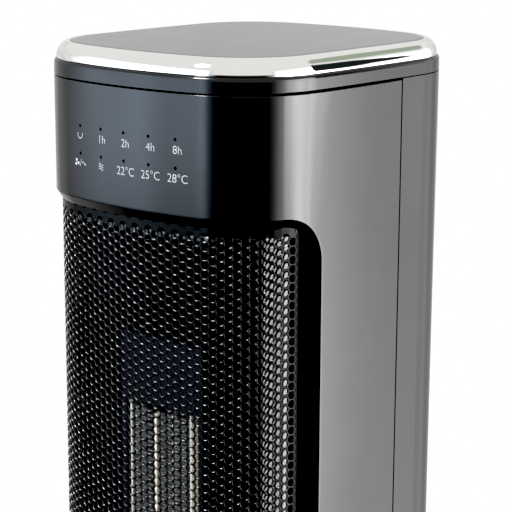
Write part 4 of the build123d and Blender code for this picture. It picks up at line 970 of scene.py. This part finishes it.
# %% [markdown]
# ## Status dots and printed labels
# Ten small dark lenses sit over their labels in two rows.  The labels are generic: hours, degrees and simple
# signs.  They could be painted in a shader, but a small mesh keeps its edge sharp from any distance.  Each is
# drawn flat, then wrapped a hair above the shell, as print would lie.

# %% Dots
DOT_COLUMNS, DOT_STEP, DOT_SIDES = 5, 18 * MM, 20
DOT_ROWS_Z = (tower_top - 43.3 * MM, tower_top - 58.6 * MM)
# a lens from its middle outwards: radius, and height over the shell, in millimetres
LENS_PROFILE = ((0.0, 0.03), (0.7, 0.05), (0.98, 0.02), (1.05, -0.35))


def run_at_x(x):
    """How far along the outline a place on the front lies, from its x."""
    return math.asin(x / FRONT_RADIUS) * FRONT_RADIUS if abs(x) < FRONT_RADIUS * math.sin(front_turn) else x


points, faces = [], []
for z0 in DOT_ROWS_Z:
    for column in range(DOT_COLUMNS):
        s0 = run_at_x((column - 2) * DOT_STEP)
        start = len(points)
        for radius, lift in LENS_PROFILE:
            for k in range(DOT_SIDES):
                a = math.tau * k / DOT_SIDES
                points.append(wrap(s0 + radius * MM * math.cos(a), z0 + radius * MM * math.sin(a), -lift * MM))
        for level in range(len(LENS_PROFILE) - 1):
            a, b = start + level * DOT_SIDES, start + (level + 1) * DOT_SIDES
            for k in range(DOT_SIDES):
                j = (k + 1) % DOT_SIDES
                faces.append((a + k, b + k, b + j, a + j))
weld(make_piece("status_dots", points, faces, lens_black, stands_for=("led_lenses",)))

# %% Strokes for the signs
PRINT_LIFT = 0.06 * MM


def stroke(path, width):
    """A flat ribbon of even width along a path of (x, z)."""
    points, faces = [], []
    for i, (x, z) in enumerate(path):
        ax, az = path[max(0, i - 1)]
        bx, bz = path[min(len(path) - 1, i + 1)]
        length = math.hypot(bx - ax, bz - az) or 1
        nx, nz = -(bz - az) / length * width / 2, (bx - ax) / length * width / 2
        points += [(x + nx, z + nz), (x - nx, z - nz)]
    for i in range(len(path) - 1):
        faces.append((2 * i, 2 * i + 1, 2 * i + 3, 2 * i + 2))
    return points, faces


def wave(width, height, count=12):
    """One wave of a line, centred, as (x, z)."""
    return [(width * (k / count - 0.5), height * math.sin(math.tau * k / count)) for k in range(count + 1)]


def arc(radius, start, stop, cx=0.0, cz=0.0, count=14):
    """Part of a circle, angles in degrees, as (x, z)."""
    turns = [math.radians(start + (stop - start) * k / count) for k in range(count + 1)]
    return [(cx + radius * math.cos(a), cz + radius * math.sin(a)) for a in turns]


def lay_print(name, drawings, cx, cz):
    """Wraps flat drawings round (cx, cz) on the shell's face."""
    points, faces = [], []
    for flat, quads in drawings:
        start = len(points)
        points += [wrap(run_at_x(cx + x), cz + z, -PRINT_LIFT) for x, z in flat]
        faces += [tuple(start + i for i in quad) for quad in quads]
    return make_piece(name, points, faces, print_grey, smooth=False)


print("print lies", PRINT_LIFT / MM, "mm over the shell")

# %% Draw the signs
LINE, SIGN_Z = 0.42 * MM, tower_top - 64.0 * MM
power_sign = [stroke(arc(2.1 * MM, 155, 385, 0, 0.4 * MM), LINE)]
lay_print("sign_power", power_sign, -2 * DOT_STEP, tower_top - 48.6 * MM)
blade = [(0.0, 0.2 * MM), (-0.9 * MM, 1.0 * MM), (-0.7 * MM, 2.0 * MM), (0.4 * MM, 2.3 * MM), (0.8 * MM, 1.2 * MM)]
fan_sign = []
for k in range(3):
    a = math.radians(120 * k + 15)
    spun = [(x * math.cos(a) - z * math.sin(a) - 3.3 * MM, x * math.sin(a) + z * math.cos(a)) for x, z in blade]
    fan_sign.append((spun, [tuple(range(len(spun)))]))
fan_sign.append(stroke([(-0.9 * MM, -2.1 * MM), (0.9 * MM, 2.1 * MM)], LINE * 0.8))
fan_sign.append(stroke([(x + 3.2 * MM, z) for x, z in wave(3.6 * MM, 0.7 * MM)], LINE * 1.2))
lay_print("sign_fan", fan_sign, -2 * DOT_STEP, SIGN_Z)
heat_sign = [stroke([(x, z + dz) for x, z in wave(3.6 * MM, 0.45 * MM)], LINE)
             for dz in (-1.3 * MM, 0.0, 1.3 * MM)]
lay_print("sign_heat", heat_sign, -DOT_STEP, SIGN_Z)

# %% [markdown]
# ## The numbers
# Blender's own font draws the hours and degrees.  A text object would stay flat, so its curve is turned into
# a mesh first, scaled until a digit is as tall as the print, and then wrapped like the signs.

# %% Print the numbers
THIN_STROKE, PRINT_SHIFT = -0.008, 1.3 * MM
HOURS_LOW, HOURS_HIGH = tower_top - 51.0 * MM, tower_top - 46.6 * MM
DEGREES_LOW, DEGREES_HIGH = tower_top - 66.3 * MM, tower_top - 61.7 * MM


def flat_text(words, offset=0.0):
    """The flat mesh of some words; offset makes the strokes bolder or thinner."""
    curve = bpy.data.curves.new("words", "FONT")
    curve.body = words
    curve.resolution_u = 4
    curve.offset = offset
    holder = bpy.data.objects.new("words", curve)
    bpy.context.collection.objects.link(holder)
    flat = bpy.data.meshes.new_from_object(holder)
    bpy.data.objects.remove(holder)
    return flat


digit_rise = max(v.co.y for v in flat_text("2").vertices)


def lay_text(name, words, cx, z_low, z_high, squeeze=1.0):
    """Wraps words on the shell, centred at cx, with digits that reach from z_low to z_high."""
    flat = flat_text(words, THIN_STROKE)
    xs = [v.co.x for v in flat.vertices]
    middle_x = (min(xs) + max(xs)) / 2
    scale = (z_high - z_low) / digit_rise
    points = [wrap(run_at_x(cx + (v.co.x - middle_x) * scale * squeeze), z_low + v.co.y * scale, -PRINT_LIFT)
              for v in flat.vertices]
    faces = [tuple(p.vertices) for p in flat.polygons]
    return make_piece(name, points, faces, print_grey, smooth=False)


for column, words in enumerate(("1h", "2h", "4h", "8h")):
    lay_text("label_" + words, words, (column - 1) * DOT_STEP + PRINT_SHIFT, HOURS_LOW, HOURS_HIGH)
for column, words in enumerate(("22", "25", "28")):
    lay_text("label_" + words + "C", words + "°C", column * DOT_STEP + PRINT_SHIFT, DEGREES_LOW, DEGREES_HIGH,
             squeeze=0.96)

# %% [markdown]
# ## The floor
# The tower stands on pale paper that sweeps up into the backdrop.  A wide plane would show a hard horizon, so
# the floor is a small disc whose rim fades into the white paper behind it.  Its grain is just strong enough
# to keep the shadow from looking like flat paint.

# %% Mix the studio paper
FLOOR_RADIUS, FLOOR_FADE, FLOOR_SIDES = 0.62, 0.30, 72
floor_paper = bpy.data.materials.new("studio paper")
floor_paper.use_nodes = True
sheet = floor_paper.node_tree
paper_shader = sheet.nodes["Principled BSDF"]
paper_shader.inputs["Roughness"].default_value = 0.85
place = add_node(sheet, "ShaderNodeTexCoord").outputs["Object"]
grain = add_node(sheet, "ShaderNodeTexNoise", Scale=60.0, Detail=4.0, Vector=place)
paper_tint = add_node(sheet, "ShaderNodeMix", {"data_type": "RGBA"}, i0=grain.outputs["Fac"],
                      i6=(0.80, 0.80, 0.80, 1), i7=(0.84, 0.84, 0.84, 1))
sheet.links.new(paper_tint.outputs[2], paper_shader.inputs["Base Color"])
away = add_node(sheet, "ShaderNodeVectorMath", {"operation": "LENGTH"}, i0=place).outputs["Value"]
sheet.links.new(soft_step(sheet, away, FLOOR_FADE, FLOOR_RADIUS, first=1.0, last=0.0),
                paper_shader.inputs["Alpha"])
print("floor radius", FLOOR_RADIUS)

# %% Lay the floor
floor_turns = [math.tau * k / FLOOR_SIDES for k in range(FLOOR_SIDES)]
points, faces = loft([[Vector((r * math.cos(a), r * math.sin(a), 0.0)) for a in floor_turns]
                      for r in (0.001, 0.1, 0.2, 0.3, 0.4, 0.5, FLOOR_RADIUS)])
floor_mesh = bpy.data.meshes.new("floor")
floor_mesh.from_pydata([tuple(p) for p in points], [], faces)
floor_mesh.materials.append(floor_paper)
floor = bpy.data.objects.new("floor", floor_mesh)
bpy.context.collection.objects.link(floor)
floor.visible_glossy = False  # gloss black would mirror the paper as a grey haze
print("floor faces", len(faces))
